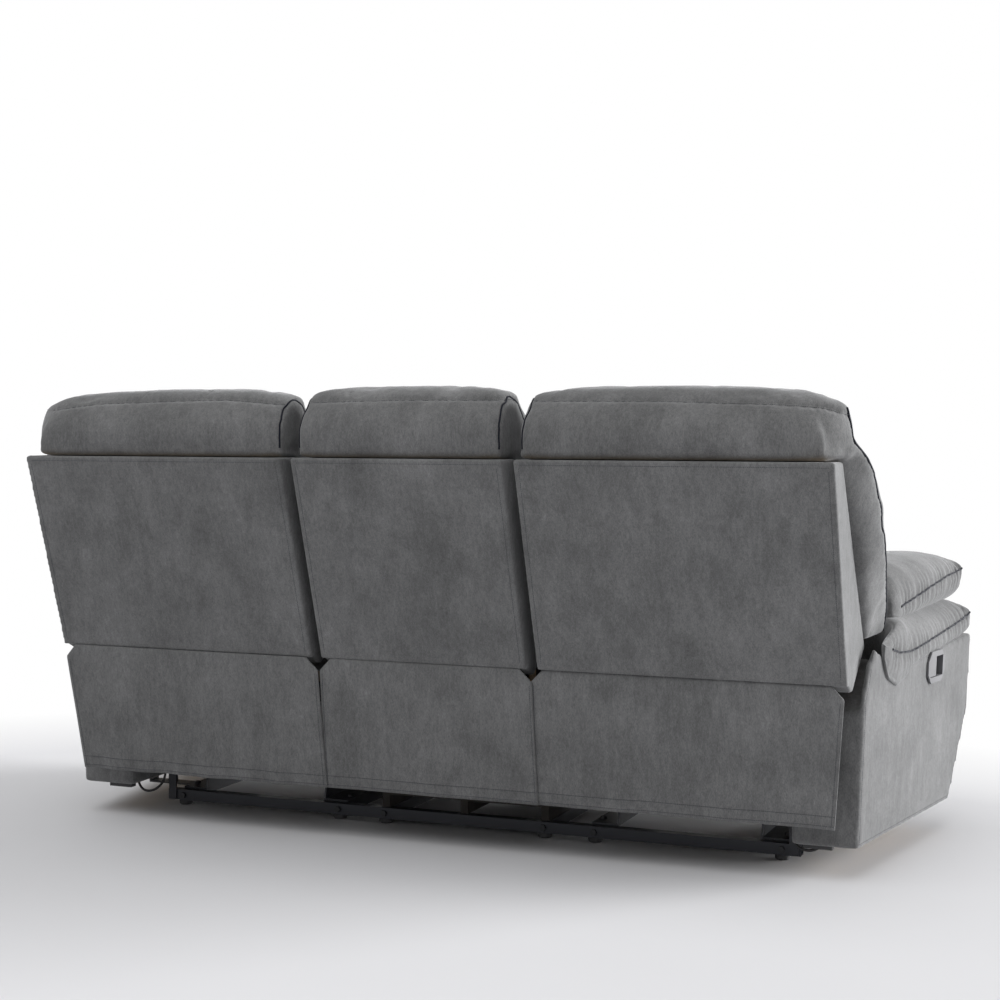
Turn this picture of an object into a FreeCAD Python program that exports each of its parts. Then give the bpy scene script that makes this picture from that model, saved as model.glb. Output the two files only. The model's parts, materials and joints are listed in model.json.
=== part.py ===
import FreeCAD, Part
import math
import os

from FreeCAD import Placement, Rotation, Vector

# A reclining sofa with three seats. Both end seats recline and carry a footrest.
# Millimetres, +Z up, the front faces -Y, +X is the sitter's left.
# The origin is on the floor under the middle of the sofa.

# Seats
CENTRE_SEAT_WIDTH = 504.0
END_SEAT_WIDTH = 518.0
SEAT_GAP = 14.0
SEAT_BOTTOM_Z = 350.0
SEAT_THICKNESS = 126.0
SEAT_CROWN = 24.0
SEAT_FRONT_Y = -428.0
SEAT_REAR_Y = 28.0
SEAT_NOSE = 25.0
DECK_THICKNESS = 40.0
DECK_FRONT_Y = -400.0
DECK_MEMBER = 42.0
DECK_SLAT = 30.0
SPRING_DIAMETER = 4.0
SPRING_PITCH = 34.0
SPRING_WIDTH = 46.0
SPRINGS_PER_SEAT = 3

# Backs
BACK_TOP_Y = 470.0
BACK_TOP_Z = 854.0
BACK_SEAM_Z = 410.0
BACK_LEAN = 17.4
CENTRE_BACK_WIDTH = 486.0
END_BACK_WIDTH = 653.0
BACK_GAP = 24.0
SHELL_WALL = 12.0
SHELL_TOP_DEPTH = 82.0
SHELL_LOW_DEPTH = 195.0
SHELL_LOW_Z = 468.0
SHELL_TIP_DEPTH = 42.0
SHELL_TIP_Z = 389.0
RIB_THICKNESS = 18.0
RIB_COUNT = 4
RAIL_DEPTH = 50.0
COVER_CLEARANCE = 0.3
BACK_DIVIDER_Y = 122.0
BACK_DIVIDER_Z = 772.0
BACK_FOOT_Y = 14.0
BACK_FOOT_Z = 486.0
LUMBAR_MIDDLE_Z = 583.0
LUMBAR_SWELL = 14.0
LUMBAR_BULGE = 40.0
HEAD_BULGE = 46.0
BACK_TOTAL_Z = 1012.0
HEAD_FRONT_Y = 226.0
HEAD_REAR_INSET = 16.0
HEAD_OUTER_DROP = 46.0
HEAD_INNER_DROP = 22.0
HEAD_END_SETBACK = 12.0
HEAD_END_RECESS = 56.0
WING_OVERHANG = 22.0
WING_CLEARANCE = 8.0
NECK_CLEARANCE = 18.0
NECK_BOTTOM_Z = 348.0
NECK_DEPTH = 98.0
NECK_INSET = 8.0

# Rear skirts
SKIRT_THICKNESS = 5.0
SKIRT_HEM_Z = 115.0
SKIRT_SWING = 36.0
SKIRT_FOLD = 7.0
SKIRT_TAPER = 31.0
SKIRT_FLARE = 7.0
SKIRT_GAP = 2.0
SKIRT_LAP = 5.0

# Arms
ARM_CLEARANCE = 6.0
ARM_REAR_Y = 245.0
ARM_FRONT_Y = -436.0
ARM_BOTTOM_Z = 68.0
ARM_TOP_Z = 440.0
ARM_REAR_WIDTH = 152.0
ARM_FLARE = 0.165
ARM_DRAFT = 0.04
ARM_SIDE_PADDING = 40.0
ARM_REAR_WALL = 20.0
ARM_FRONT_WALL = 26.0
ARM_INNER_WALL = 10.0
ARM_TOP_WALL = 10.0
ARM_CORNER_DEPTH = 120.0
ARM_CORNER_DROP = 95.0
ARM_TOP_FALL = 24.0
ARM_CUT_DEPTH = 105.0
ARM_CUT_HEIGHT = 200.0
ARM_BOARD = 18.0
STUD_PLACES = (-220.0, -12.0)
LOWER_PILLOW_TOP = 72.0
LOWER_PILLOW_FRONT_Y = -470.0
LOWER_PILLOW_REACH = 4.0
UPPER_PILLOW_TOP = 636.0
UPPER_PILLOW_INSET = 16.0
PILLOW_REAR_Y = -12.0
PILLOW_TAIL_Y = 165.0

# Base
GLIDE_HEIGHT = 11.0
GLIDE_DIAMETER = 32.0
TUBE = 25.0
TUBE_WALL = 2.0
REAR_RAIL_Y = 95.0
BASE_DEPTH = 425.0
OUTER_RAIL_INSET = 46.0
INNER_RAIL_INSET = 51.0
RAIL_OVERHANG = 42.0
CENTRE_RAIL_SPREAD = 394.4

# Mechanism of an end seat
PLATE = 4.0
PLATE_GAP = 4.0
BRACKET_INSET = 48.0
LINK_WIDTH = 24.0
STUD_DIAMETER = 12.0
STUD_CLEARANCE = 0.05
OPEN_PIVOT_CLEARANCE = 1.0
STUD_HEAD = 2.7
STUD_HEAD_DIAMETER = 18.0
HEAD_CLEARANCE = 0.3
SWING_LENGTH = 110.0
SWING_LEAN = 12.0
SWING_PIVOT_Z = 150.0
SWING_REAR_Y = 60.0
SWING_FRONT_Y = -150.0
RECLINE_Y = 200.0
RECLINE_Z = 330.0
FOOT_PIVOT_Y = -315.0
FOOT_PIVOT_Z = 252.0
LOWER_LINK = 180.0
LOWER_LINK_ANGLE = -80.0
UPPER_LINK = 200.0
UPPER_LINK_ANGLE = 100.0
CARRIAGE_BOTTOM_Z = 234.0
CARRIAGE_FLANGE = 22.0
CROSS_TUBE_DIAMETER = 22.0

# Footrest and front panel
BOARD_REAR_Y = -370.0
BOARD_THICKNESS = 12.0
BOARD_BOTTOM_Z = 105.0
BOARD_HEIGHT = 198.0
FOOT_CUSHION_THICKNESS = 46.0
FOOT_CUSHION_CROWN = 14.0

# Release handles
HANDLE_Y = -180.0
HANDLE_Z = 392.0
BEZEL_LENGTH = 110.0
BEZEL_HEIGHT = 70.0
BEZEL_THICKNESS = 5.0
CUP_LENGTH = 88.0
CUP_HEIGHT = 50.0
CUP_DEPTH = 30.0
CUP_WALL = 2.5
CUP_CLEARANCE = 0.3
BOSS_LENGTH = 6.0
BOSS_DIAMETER = 14.0
FLAP_LENGTH = 40.0
FLAP_THICKNESS = 4.0
FLAP_CLEARANCE = 0.8
FLAP_HINGE_INSET = 7.0
TRUNNION_DIAMETER = 4.0

# Release cables
CABLE_DIAMETER = 6.0
CABLE_LEAD = 36.0
CABLE_HOLE = 22.0
CLIP_WIDTH = 20.0
CLIP_X_OFFSET = 28.0
CABLE_ROUTE = (
    (914.0, -164.0, 366.0),
    (896.0, -116.0, 322.0),
    (884.0, -62.0, 276.0),
    (873.0, -8.0, 228.0),
    (864.0, 46.0, 178.0),
    (857.0, 94.0, 126.0),
    (852.0, 126.0, 88.0),
    (843.0, 146.0, 56.0),
    (816.0, 160.0, 36.0),
    (782.0, 157.0, 42.0),
    (766.0, 140.0, 69.0),
    (766.0, 140.0, 101.0),
)

# Fasteners
BOLT_DIAMETER = 8.0
BOLT_HEAD = 13.0
BOLT_HEAD_HEIGHT = 5.5
BOLT_CLEARANCE = 0.1

# Places worked out from the sizes above
CENTRE_HALF = CENTRE_SEAT_WIDTH / 2
END_IN = CENTRE_HALF + SEAT_GAP
END_OUT = END_IN + END_SEAT_WIDTH
ARM_IN = END_OUT + ARM_CLEARANCE
ARM_OUT = ARM_IN + ARM_REAR_WIDTH
BACK_HALF = CENTRE_BACK_WIDTH / 2
BACK_IN = BACK_HALF + BACK_GAP
BACK_OUT = BACK_IN + END_BACK_WIDTH
RAIL_BOTTOM = GLIDE_HEIGHT
RAIL_TOP = GLIDE_HEIGHT + TUBE
FRONT_RAIL_Y = REAR_RAIL_Y - BASE_DEPTH
INNER_RAIL_X = END_IN + INNER_RAIL_INSET
OUTER_RAIL_X = END_OUT - OUTER_RAIL_INSET
CENTRE_RAIL_X = CENTRE_RAIL_SPREAD / 2
RAIL_END = OUTER_RAIL_X + RAIL_OVERHANG
MECH_X = (INNER_RAIL_X + OUTER_RAIL_X) / 2
BRACKET_PLANE = OUTER_RAIL_X - BRACKET_INSET - MECH_X
PLANE_STEP = PLATE + PLATE_GAP
LINK_PLANE = BRACKET_PLANE - PLANE_STEP
CARRIAGE_PLANE = LINK_PLANE - PLANE_STEP
LOWER_PLANE = CARRIAGE_PLANE - PLANE_STEP
UPPER_PLANE = LOWER_PLANE - PLANE_STEP
BOARD_PLANE = UPPER_PLANE - PLANE_STEP
DECK_BOTTOM_Z = SEAT_BOTTOM_Z - DECK_THICKNESS
BACK_SLOPE = math.tan(math.radians(BACK_LEAN))
NECK_FRONT_Y = SEAT_REAR_Y + NECK_CLEARANCE
WING_X = BACK_OUT + WING_OVERHANG
SKIRT_EDGE = BACK_HALF + SKIRT_FLARE
CLIP_X = OUTER_RAIL_X + CLIP_X_OFFSET


# Shapes used again and again


def box(x0, x1, y0, y1, z0, z1):
    return Part.makeBox(x1 - x0, y1 - y0, z1 - z0, Vector(x0, y0, z0))


def prism_x(points, x0, x1):
    """Closed outline of (y, z) points carried from x0 to x1."""
    ring = [Vector(x0, y, z) for y, z in points]
    wire = Part.makePolygon(ring + [ring[0]])
    return Part.Face(wire).extrude(Vector(x1 - x0, 0, 0))


def rod_x(y, z, diameter, x0, x1):
    low, high = min(x0, x1), max(x0, x1)
    return Part.makeCylinder(diameter / 2, high - low, Vector(low, y, z), Vector(1, 0, 0))


def rod(start, direction, diameter, length):
    return Part.makeCylinder(diameter / 2, length, start, direction)


def join(first, *others):
    return first.fuse(list(others)).removeSplitter() if others else first


def group(shapes):
    return Part.makeCompound(list(shapes))


def mirrored(shape):
    return shape.mirror(Vector(0, 0, 0), Vector(1, 0, 0))


def wire_x(x, start, moves):
    """Closed wire in the plane at x. A move is (end,) for a line or (middle, end) for an arc."""
    here = Vector(x, *start)
    edges = []
    for move in moves:
        end = Vector(x, *move[-1])
        if len(move) == 1:
            edges.append(Part.LineSegment(here, end).toShape())
        else:
            edges.append(Part.Arc(here, Vector(x, *move[0]), end).toShape())
        here = end
    return Part.Wire(edges)


def rear_y(z):
    """Rear face of the backs at a height."""
    return BACK_TOP_Y - (BACK_TOP_Z - z) * BACK_SLOPE


def board_y(z):
    """Plane between a back's frame and its cushions at a height."""
    top = BACK_TOP_Y - SHELL_TOP_DEPTH
    low = rear_y(SHELL_LOW_Z) - SHELL_LOW_DEPTH
    return low + (top - low) * (z - SHELL_LOW_Z) / (BACK_TOP_Z - SHELL_LOW_Z)


def plate_span(plane, side):
    """X range of a mechanism plate, whose plane is measured from the seat's middle."""
    middle = MECH_X + side * plane
    return middle - PLATE / 2, middle + PLATE / 2


def pivot_on(pivot, length, angle):
    """Far end of a footrest link. An angle of 0 points forward and 90 points up."""
    turn = math.radians(angle)
    return pivot[0] - length * math.cos(turn), pivot[1] + length * math.sin(turn)


def link_plate(start, end, x0, x1, width=LINK_WIDTH):
    """Flat link with round ends between two (y, z) pivots."""
    along = Vector(0, end[0] - start[0], end[1] - start[1])
    across = Vector(0, -along.z, along.y).multiply(width / 2 / along.Length)
    corners = [
        (start[0] + across.y, start[1] + across.z),
        (end[0] + across.y, end[1] + across.z),
        (end[0] - across.y, end[1] - across.z),
        (start[0] - across.y, start[1] - across.z),
    ]
    body = prism_x(corners, x0, x1)
    return join(body, rod_x(*start, width, x0, x1), rod_x(*end, width, x0, x1))


def stud(pivot, plane, target, side):
    """Riveted stud from a link in one plane through the plate in another, with its head."""
    outward = 1 if target > plane else -1
    start = MECH_X + side * (plane + outward * PLATE / 2)
    seat = MECH_X + side * (target + outward * (PLATE / 2 + HEAD_CLEARANCE))
    crown = seat + side * outward * STUD_HEAD
    return join(
        rod_x(*pivot, STUD_DIAMETER, start, crown),
        rod_x(*pivot, STUD_HEAD_DIAMETER, seat, crown),
    )


def stud_hole(pivot, plane, side, clearance=STUD_CLEARANCE):
    x0, x1 = plate_span(plane, side)
    return rod_x(*pivot, STUD_DIAMETER + 2 * clearance, x0 - 1, x1 + 1)


# Base: rails, glides, brackets and bolts

SIDE_RAIL_PLACES = [
    side * x for side in (-1, 1) for x in (CENTRE_RAIL_X, INNER_RAIL_X, OUTER_RAIL_X)
]
ARM_SUPPORT_PLACES = (FRONT_RAIL_Y + 40.0, REAR_RAIL_Y - 75.0)
ARM_SUPPORT_WIDTH = 36.0
BRACKET_BOLT_PLACES = (SWING_FRONT_Y - 20.0, SWING_REAR_Y - 20.0)


def tube_x(y):
    outer = box(-RAIL_END, RAIL_END, y - TUBE / 2, y + TUBE / 2, RAIL_BOTTOM, RAIL_TOP)
    wall = TUBE_WALL
    inner = box(
        -RAIL_END - 1, RAIL_END + 1,
        y - TUBE / 2 + wall, y + TUBE / 2 - wall, RAIL_BOTTOM + wall, RAIL_TOP - wall,
    )
    return outer.cut(inner)


def rear_rail():
    rail = tube_x(REAR_RAIL_Y)
    for x in SIDE_RAIL_PLACES:
        hole = BOLT_DIAMETER + 2 * BOLT_CLEARANCE
        start = Vector(x, REAR_RAIL_Y - TUBE, RAIL_BOTTOM + TUBE / 2)
        rail = rail.cut(rod(start, Vector(0, 1, 0), hole, 2 * TUBE))
    return rail


def side_rail(x):
    """Bar between the front and rear rails, tapped for its bolts."""
    front, rear = FRONT_RAIL_Y + TUBE / 2, REAR_RAIL_Y - TUBE / 2
    rail = box(x - TUBE / 2, x + TUBE / 2, front, rear, RAIL_BOTTOM, RAIL_TOP)
    hole = BOLT_DIAMETER + 2 * BOLT_CLEARANCE
    start = Vector(x, rear - 22, RAIL_BOTTOM + TUBE / 2)
    rail = rail.cut(rod(start, Vector(0, 1, 0), hole, 30))
    if abs(x) > CENTRE_RAIL_X:
        for y in BRACKET_BOLT_PLACES:
            start = Vector(x, y, RAIL_TOP - 16)
            rail = rail.cut(rod(start, Vector(0, 0, 1), hole, 30))
    return rail


def glides():
    shapes = []
    for y in (FRONT_RAIL_Y, REAR_RAIL_Y):
        for x in SIDE_RAIL_PLACES:
            disc = rod(Vector(x, y, 0), Vector(0, 0, 1), GLIDE_DIAMETER, GLIDE_HEIGHT)
            shapes.append(disc.makeChamfer(2.5, disc.Edges[2:3]))
    return group(shapes)


def arm_pads():
    """Plastic pad under the rear of each arm."""
    x = ARM_IN + 50.0
    pad = box(x - 30, x + 30, ARM_REAR_Y - 42, ARM_REAR_Y - 22, ARM_BOTTOM_Z - 10, ARM_BOTTOM_Z)
    return group([pad, mirrored(pad)])


def base_bracket(side):
    """Upright plate on a side rail that carries the two swing links of one side."""
    x0, x1 = plate_span(BRACKET_PLANE, side)
    rail_x = OUTER_RAIL_X if side > 0 else INNER_RAIL_X
    rear, front = SWING_REAR_Y, SWING_FRONT_Y
    top = SWING_PIVOT_Z + 15
    sill = RAIL_TOP + PLATE + 22
    outline = [
        (rear + 22, RAIL_TOP), (rear + 16, sill), (rear + 14, top), (rear - 14, top),
        (rear - 30, sill + 18), (front + 34, top - 4), (front + 14, top),
        (front - 14, top), (front - 16, sill), (front - 40, RAIL_TOP),
    ]
    plate = prism_x(outline, x0, x1)
    flange_x = sorted((x0 if side > 0 else x1, rail_x + side * TUBE / 2))
    flange = box(
        flange_x[0], flange_x[1], front - 40, rear + 22, RAIL_TOP, RAIL_TOP + PLATE
    )
    bracket = join(plate, flange)
    for pivot_y in (front, rear):
        bracket = bracket.cut(stud_hole((pivot_y, SWING_PIVOT_Z), BRACKET_PLANE, side))
    for number in range(3):
        y = rear - 58 - number * 34
        z = sill + 16 + number * 15
        bracket = bracket.cut(rod_x(y, z, 11, x0 - 1, x1 + 1))
    hole = BOLT_DIAMETER + 2 * BOLT_CLEARANCE
    for y in BRACKET_BOLT_PLACES:
        start = Vector(rail_x, y, RAIL_TOP - 1)
        bracket = bracket.cut(rod(start, Vector(0, 0, 1), hole, PLATE + 2))
    return bracket


def cable_clip():
    """Post behind the rear rail whose lip stops the release cable."""
    rear = REAR_RAIL_Y + TUBE / 2
    lip_y = CABLE_ROUTE[-1][1]
    lip_z = CABLE_ROUTE[-1][2]
    x0, x1 = CLIP_X - CLIP_WIDTH / 2, CLIP_X + CLIP_WIDTH / 2
    post = box(x0, x1, rear, rear + PLATE, RAIL_BOTTOM + 2, lip_z + PLATE)
    lip = box(x0, x1, rear, lip_y + CLIP_WIDTH / 2, lip_z, lip_z + PLATE)
    ferrule = rod(Vector(CLIP_X, lip_y, lip_z + PLATE), Vector(0, 0, 1), 11, 12)
    return join(post, lip, ferrule)


def base_brackets():
    left = [base_bracket(1), base_bracket(-1), cable_clip()]
    return group(left + [mirrored(shape) for shape in left])


def hex_head(place, direction, height=BOLT_HEAD_HEIGHT):
    """Hexagon head that stands on a place, along a direction."""
    ring = []
    radius = BOLT_HEAD / 2 / math.cos(math.radians(30))
    for corner in range(7):
        turn = math.radians(60 * corner)
        ring.append(Vector(radius * math.cos(turn), radius * math.sin(turn), 0))
    head = Part.Face(Part.makePolygon(ring)).extrude(Vector(0, 0, height))
    head.Placement = Placement(place, Rotation(Vector(0, 0, 1), direction))
    return head


def bolt(place, direction, grip):
    """Bolt whose head stands on a place and whose shank goes the other way."""
    shank_start = place - direction * grip
    return join(hex_head(place, direction), rod(shank_start, direction, BOLT_DIAMETER, grip))


def base_bolts():
    shapes = []
    for x in SIDE_RAIL_PLACES:
        place = Vector(x, REAR_RAIL_Y + TUBE / 2, RAIL_BOTTOM + TUBE / 2)
        shapes.append(bolt(place, Vector(0, 1, 0), TUBE + 18))
    for side in (-1, 1):
        for x in (INNER_RAIL_X, OUTER_RAIL_X):
            for y in BRACKET_BOLT_PLACES:
                place = Vector(side * x, y, RAIL_TOP + PLATE)
                shapes.append(bolt(place, Vector(0, 0, 1), PLATE + 14))
    return group(shapes)


def arm_supports():
    """Flat bars and risers that carry an arm from the outer side rail."""
    shapes = []
    for y in ARM_SUPPORT_PLACES:
        y0, y1 = y - ARM_SUPPORT_WIDTH / 2, y + ARM_SUPPORT_WIDTH / 2
        inner = OUTER_RAIL_X + TUBE / 2
        bar = box(inner, ARM_IN + 90, y0, y1, RAIL_TOP - PLATE, RAIL_TOP)
        riser = box(ARM_IN + 30, ARM_IN + 90, y0, y1, RAIL_TOP - PLATE, ARM_BOTTOM_Z)
        core = box(
            ARM_IN + 30 + PLATE, ARM_IN + 90 - PLATE, y0 - 1, y1 + 1,
            RAIL_TOP, ARM_BOTTOM_Z - PLATE,
        )
        shapes.append(join(bar, riser).cut(core))
    return group(shapes + [mirrored(shape) for shape in shapes])


# Arms

SIDE_NORMAL = Vector(1, ARM_FLARE, -ARM_DRAFT).normalize()
SIDE_POINT = Vector(ARM_OUT, ARM_REAR_Y, ARM_TOP_Z)


def side_x(y, z):
    """Outer face of the left arm."""
    return ARM_OUT + ARM_FLARE * (ARM_REAR_Y - y) - ARM_DRAFT * (ARM_TOP_Z - z)


def within_side(shape, inset):
    """Part of a left arm's shape that lies inside its flared outer face."""
    reach = 2000.0
    block = Part.makeBox(reach, 2 * reach, 2 * reach, Vector(0, -reach, -reach))
    face = SIDE_POINT - SIDE_NORMAL * inset
    block.Placement = Placement(face, Rotation(Vector(1, 0, 0), SIDE_NORMAL))
    return shape.cut(block)


def arm_outline(inset_front, inset_rear, inset_top, bottom):
    """Side view of an arm: both its rear top and its front bottom corner are cut away."""
    front = ARM_FRONT_Y + inset_front
    rear = ARM_REAR_Y - inset_rear
    top = ARM_TOP_Z - inset_top
    return [
        (front + ARM_CUT_DEPTH, bottom), (rear, bottom), (rear, top - ARM_CORNER_DROP),
        (rear - ARM_CORNER_DEPTH, top - ARM_TOP_FALL), (front, top),
        (front, bottom + ARM_CUT_HEIGHT),
    ]


def arm_cover():
    outer = within_side(prism_x(arm_outline(0, 0, 0, ARM_BOTTOM_Z), ARM_IN, ARM_IN + 400), 0)
    hollow = prism_x(
        arm_outline(ARM_FRONT_WALL, ARM_REAR_WALL, ARM_TOP_WALL, ARM_BOTTOM_Z - 1),
        ARM_IN + ARM_INNER_WALL, ARM_IN + 400,
    )
    cover = outer.cut(within_side(hollow, ARM_SIDE_PADDING))
    return cover.cut(placed_on_side(cup_block(CUP_CLEARANCE)))


def arm_frame():
    """Timber box inside the cover: boards round the edge and two studs."""
    outline = arm_outline(ARM_FRONT_WALL, ARM_REAR_WALL, ARM_TOP_WALL, ARM_BOTTOM_Z)
    x0 = ARM_IN + ARM_INNER_WALL
    outer = within_side(prism_x(outline, x0, x0 + 400), ARM_SIDE_PADDING)
    inner = prism_x(
        arm_outline(
            ARM_FRONT_WALL + ARM_BOARD, ARM_REAR_WALL + ARM_BOARD,
            ARM_TOP_WALL + ARM_BOARD, ARM_BOTTOM_Z + ARM_BOARD,
        ),
        x0 - 1, x0 + 401,
    )
    studs = [box(x0, x0 + 400, y, y + ARM_BOARD, ARM_BOTTOM_Z, ARM_TOP_Z) for y in STUD_PLACES]
    studs = [outer.common(stud) for stud in studs]
    frame = join(outer.cut(inner), *studs)
    for hole in cable_holes():
        frame = frame.cut(hole)
    return frame


def cable_holes():
    """Passages for the release cable through the rear stud and the bottom board."""
    shapes = []
    half = CABLE_HOLE / 2
    stud_y = STUD_PLACES[1]
    x, z = route_at(1, stud_y + ARM_BOARD / 2)
    shapes.append(box(x - half, x + half, stud_y - 1, stud_y + ARM_BOARD + 1, z - 18, z + 18))
    x, y = route_at(2, ARM_BOTTOM_Z + ARM_BOARD / 2)
    shapes.append(
        box(x - half, x + half, y - 18, y + 18, ARM_BOTTOM_Z - 1, ARM_BOTTOM_Z + ARM_BOARD + 1)
    )
    return shapes


def route_at(axis, value):
    """The other two coordinates where the cable's route crosses a plane."""
    others = [number for number in range(3) if number != axis]
    for a, b in zip(CABLE_ROUTE, CABLE_ROUTE[1:]):
        if min(a[axis], b[axis]) <= value <= max(a[axis], b[axis]):
            share = (value - a[axis]) / (b[axis] - a[axis])
            return [a[number] + share * (b[number] - a[number]) for number in others]
    raise ValueError("the cable's route does not cross this plane")


def pillow_section(y, x0, x1, z0, z1, crown):
    """Rounded section of an arm pillow in the plane at y."""
    rise = (z1 - z0) * 0.62
    points = [
        (x0, z0), (x1, z0), (x1 + crown * 0.4, z0 + rise * 0.5), (x1 - crown * 0.2, z0 + rise),
        ((x0 + x1) / 2, z1), (x0, z0 + rise), (x0 - 0.01, z0 + rise * 0.5),
    ]
    at = [Vector(x, y, z) for x, z in points]
    return Part.Wire([
        Part.LineSegment(at[0], at[1]).toShape(),
        Part.Arc(at[1], at[2], at[3]).toShape(),
        Part.Arc(at[3], at[4], at[5]).toShape(),
        Part.LineSegment(at[5], at[0]).toShape(),
    ])


def trimmed_inside(shape):
    """A pillow stops at the arm's inner face."""
    extent = shape.BoundBox
    return shape.cut(box(
        0, ARM_IN, extent.YMin - 1, extent.YMax + 1, extent.ZMin - 1, extent.ZMax + 1
    ))


def pillow_rim(y, reach):
    """Outer edge of an arm pillow, measured from the arm's flared side."""
    return side_x(y, ARM_TOP_Z) + reach


def pillow_base(y):
    """Top of the arm under its pillow."""
    run = ARM_REAR_Y - ARM_CORNER_DEPTH - ARM_FRONT_Y
    return ARM_TOP_Z - ARM_TOP_FALL * max(0.0, y - ARM_FRONT_Y) / run


def lower_pillow():
    """Lower arm pillow: it ends in a narrow tail beside the back's wing."""
    top = ARM_TOP_Z + LOWER_PILLOW_TOP
    wing = WING_X + WING_CLEARANCE
    front, rear = LOWER_PILLOW_FRONT_Y, PILLOW_REAR_Y
    sections = []
    for y, inset, rim_inset, drop, crown in (
        (front, 16, 34, 16, 6), (front + 18, 0, 12, 6, 12), (front + 80, 0, 0, 0, 16),
        (-120, 0, 0, 0, 16), (rear, 0, 4, 6, 14),
    ):
        rim = pillow_rim(y, LOWER_PILLOW_REACH - rim_inset)
        base = pillow_base(y) + 0.7 * inset
        sections.append(pillow_section(y, ARM_IN + inset, rim, base, top - drop, crown))
    body = Part.makeLoft(sections, True)
    tail_sections = []
    for y, inset, rim_inset, drop, crown in (
        (rear, 0, 4, 10, 14), (0.4 * PILLOW_TAIL_Y, 1, 2, 14, 12),
        (0.8 * PILLOW_TAIL_Y, 2, 4, 28, 6), (PILLOW_TAIL_Y, 3, 6, 44, 2),
    ):
        rim = max(pillow_rim(y, LOWER_PILLOW_REACH - rim_inset), wing + inset + 4)
        tail_sections.append(
            pillow_section(y, wing + inset, rim, pillow_base(y), top - drop, crown)
        )
    tail = Part.makeLoft(tail_sections, True)
    block = prism_x(arm_outline(0, 0, 0, ARM_BOTTOM_Z), ARM_IN - 50, ARM_IN + 400)
    return trimmed_inside(join(body, tail).cut(block))


def upper_pillow():
    """Upper arm pillow, crowned and drawn in at its ends."""
    front = LOWER_PILLOW_FRONT_Y + 20
    rear = PILLOW_REAR_Y
    base = ARM_TOP_Z + LOWER_PILLOW_TOP - 2
    sections = []
    for y, inset, rim_inset, drop, crown in (
        (front, 22, 30, 60, 4), (front + 22, 4, 6, 22, 12), (front + 90, 0, 0, 2, 18),
        (-120, 0, 12, 0, 18), (rear - 24, 4, 22, 14, 14), (rear, 16, 46, 54, 6),
    ):
        rim = pillow_rim(y, -UPPER_PILLOW_INSET - rim_inset)
        sections.append(pillow_section(
            y, ARM_IN + inset, rim, base + 0.5 * inset, UPPER_PILLOW_TOP - drop, crown
        ))
    return trimmed_inside(Part.makeLoft(sections, True).cut(lower_pillow()))


# Release handle, drawn with its face at x = 0 and then laid on the arm's side


def placed_on_side(shape):
    x = side_x(HANDLE_Y, HANDLE_Z)
    moved = shape.copy()
    moved.Placement = Placement(
        Vector(x, HANDLE_Y, HANDLE_Z), Rotation(Vector(1, 0, 0), SIDE_NORMAL)
    )
    return moved


def cup_block(clearance):
    half_y = CUP_LENGTH / 2 + clearance
    half_z = CUP_HEIGHT / 2 + clearance
    return box(-CUP_DEPTH - clearance - 20, 20, -half_y, half_y, -half_z, half_z)


def bezel():
    half_y, half_z, cut = BEZEL_LENGTH / 2, BEZEL_HEIGHT / 2, BEZEL_HEIGHT * 0.3
    ring = [
        (-half_y + cut, -half_z), (half_y - cut, -half_z), (half_y, -half_z + cut),
        (half_y, half_z - cut), (half_y - cut, half_z), (-half_y + cut, half_z),
        (-half_y, half_z - cut), (-half_y, -half_z + cut),
    ]
    plate = prism_x(ring, 0, BEZEL_THICKNESS)
    cup = box(-CUP_DEPTH, 1, -CUP_LENGTH / 2, CUP_LENGTH / 2, -CUP_HEIGHT / 2, CUP_HEIGHT / 2)
    boss = rod_x(0, 0, BOSS_DIAMETER, -CUP_DEPTH - BOSS_LENGTH, -CUP_DEPTH + 1)
    inside_y, inside_z = CUP_LENGTH / 2 - CUP_WALL, CUP_HEIGHT / 2 - CUP_WALL
    recess = box(
        -CUP_DEPTH + CUP_WALL, BEZEL_THICKNESS + 1, -inside_y, inside_y, -inside_z, inside_z
    )
    hinge = trunnion(CUP_HEIGHT + 2, 2 * STUD_CLEARANCE)
    return join(plate, cup, boss).cut(recess).cut(hinge)


def hinge_y():
    return CUP_LENGTH / 2 - CUP_WALL - FLAP_HINGE_INSET


def trunnion(length, growth=0.0):
    start = Vector(-FLAP_THICKNESS / 2, hinge_y(), -length / 2)
    return rod(start, Vector(0, 0, 1), TRUNNION_DIAMETER + growth, length)


def handle_lever():
    half_z = CUP_HEIGHT / 2 - CUP_WALL - FLAP_CLEARANCE
    rear = hinge_y()
    front = rear - FLAP_LENGTH
    flap = box(-FLAP_THICKNESS / 2, FLAP_THICKNESS / 2, front, rear, -half_z, half_z)
    barrel = rod(
        Vector(-FLAP_THICKNESS / 2, rear, -half_z), Vector(0, 0, 1), 2.4 * FLAP_THICKNESS,
        2 * half_z,
    )
    lip = box(-FLAP_THICKNESS, FLAP_THICKNESS / 2, front, front + FLAP_THICKNESS, -14, 14)
    return join(flap, barrel, lip, trunnion(CUP_HEIGHT))


# Release cable


def cable_points():
    """The boss on the handle, a straight lead inwards and the hand-laid route."""
    boss = placed_on_side(Part.Vertex(-CUP_DEPTH - BOSS_LENGTH, 0, 0)).Point
    lead = boss - SIDE_NORMAL * CABLE_LEAD
    return [boss, lead] + [Vector(*point) for point in CABLE_ROUTE]


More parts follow.
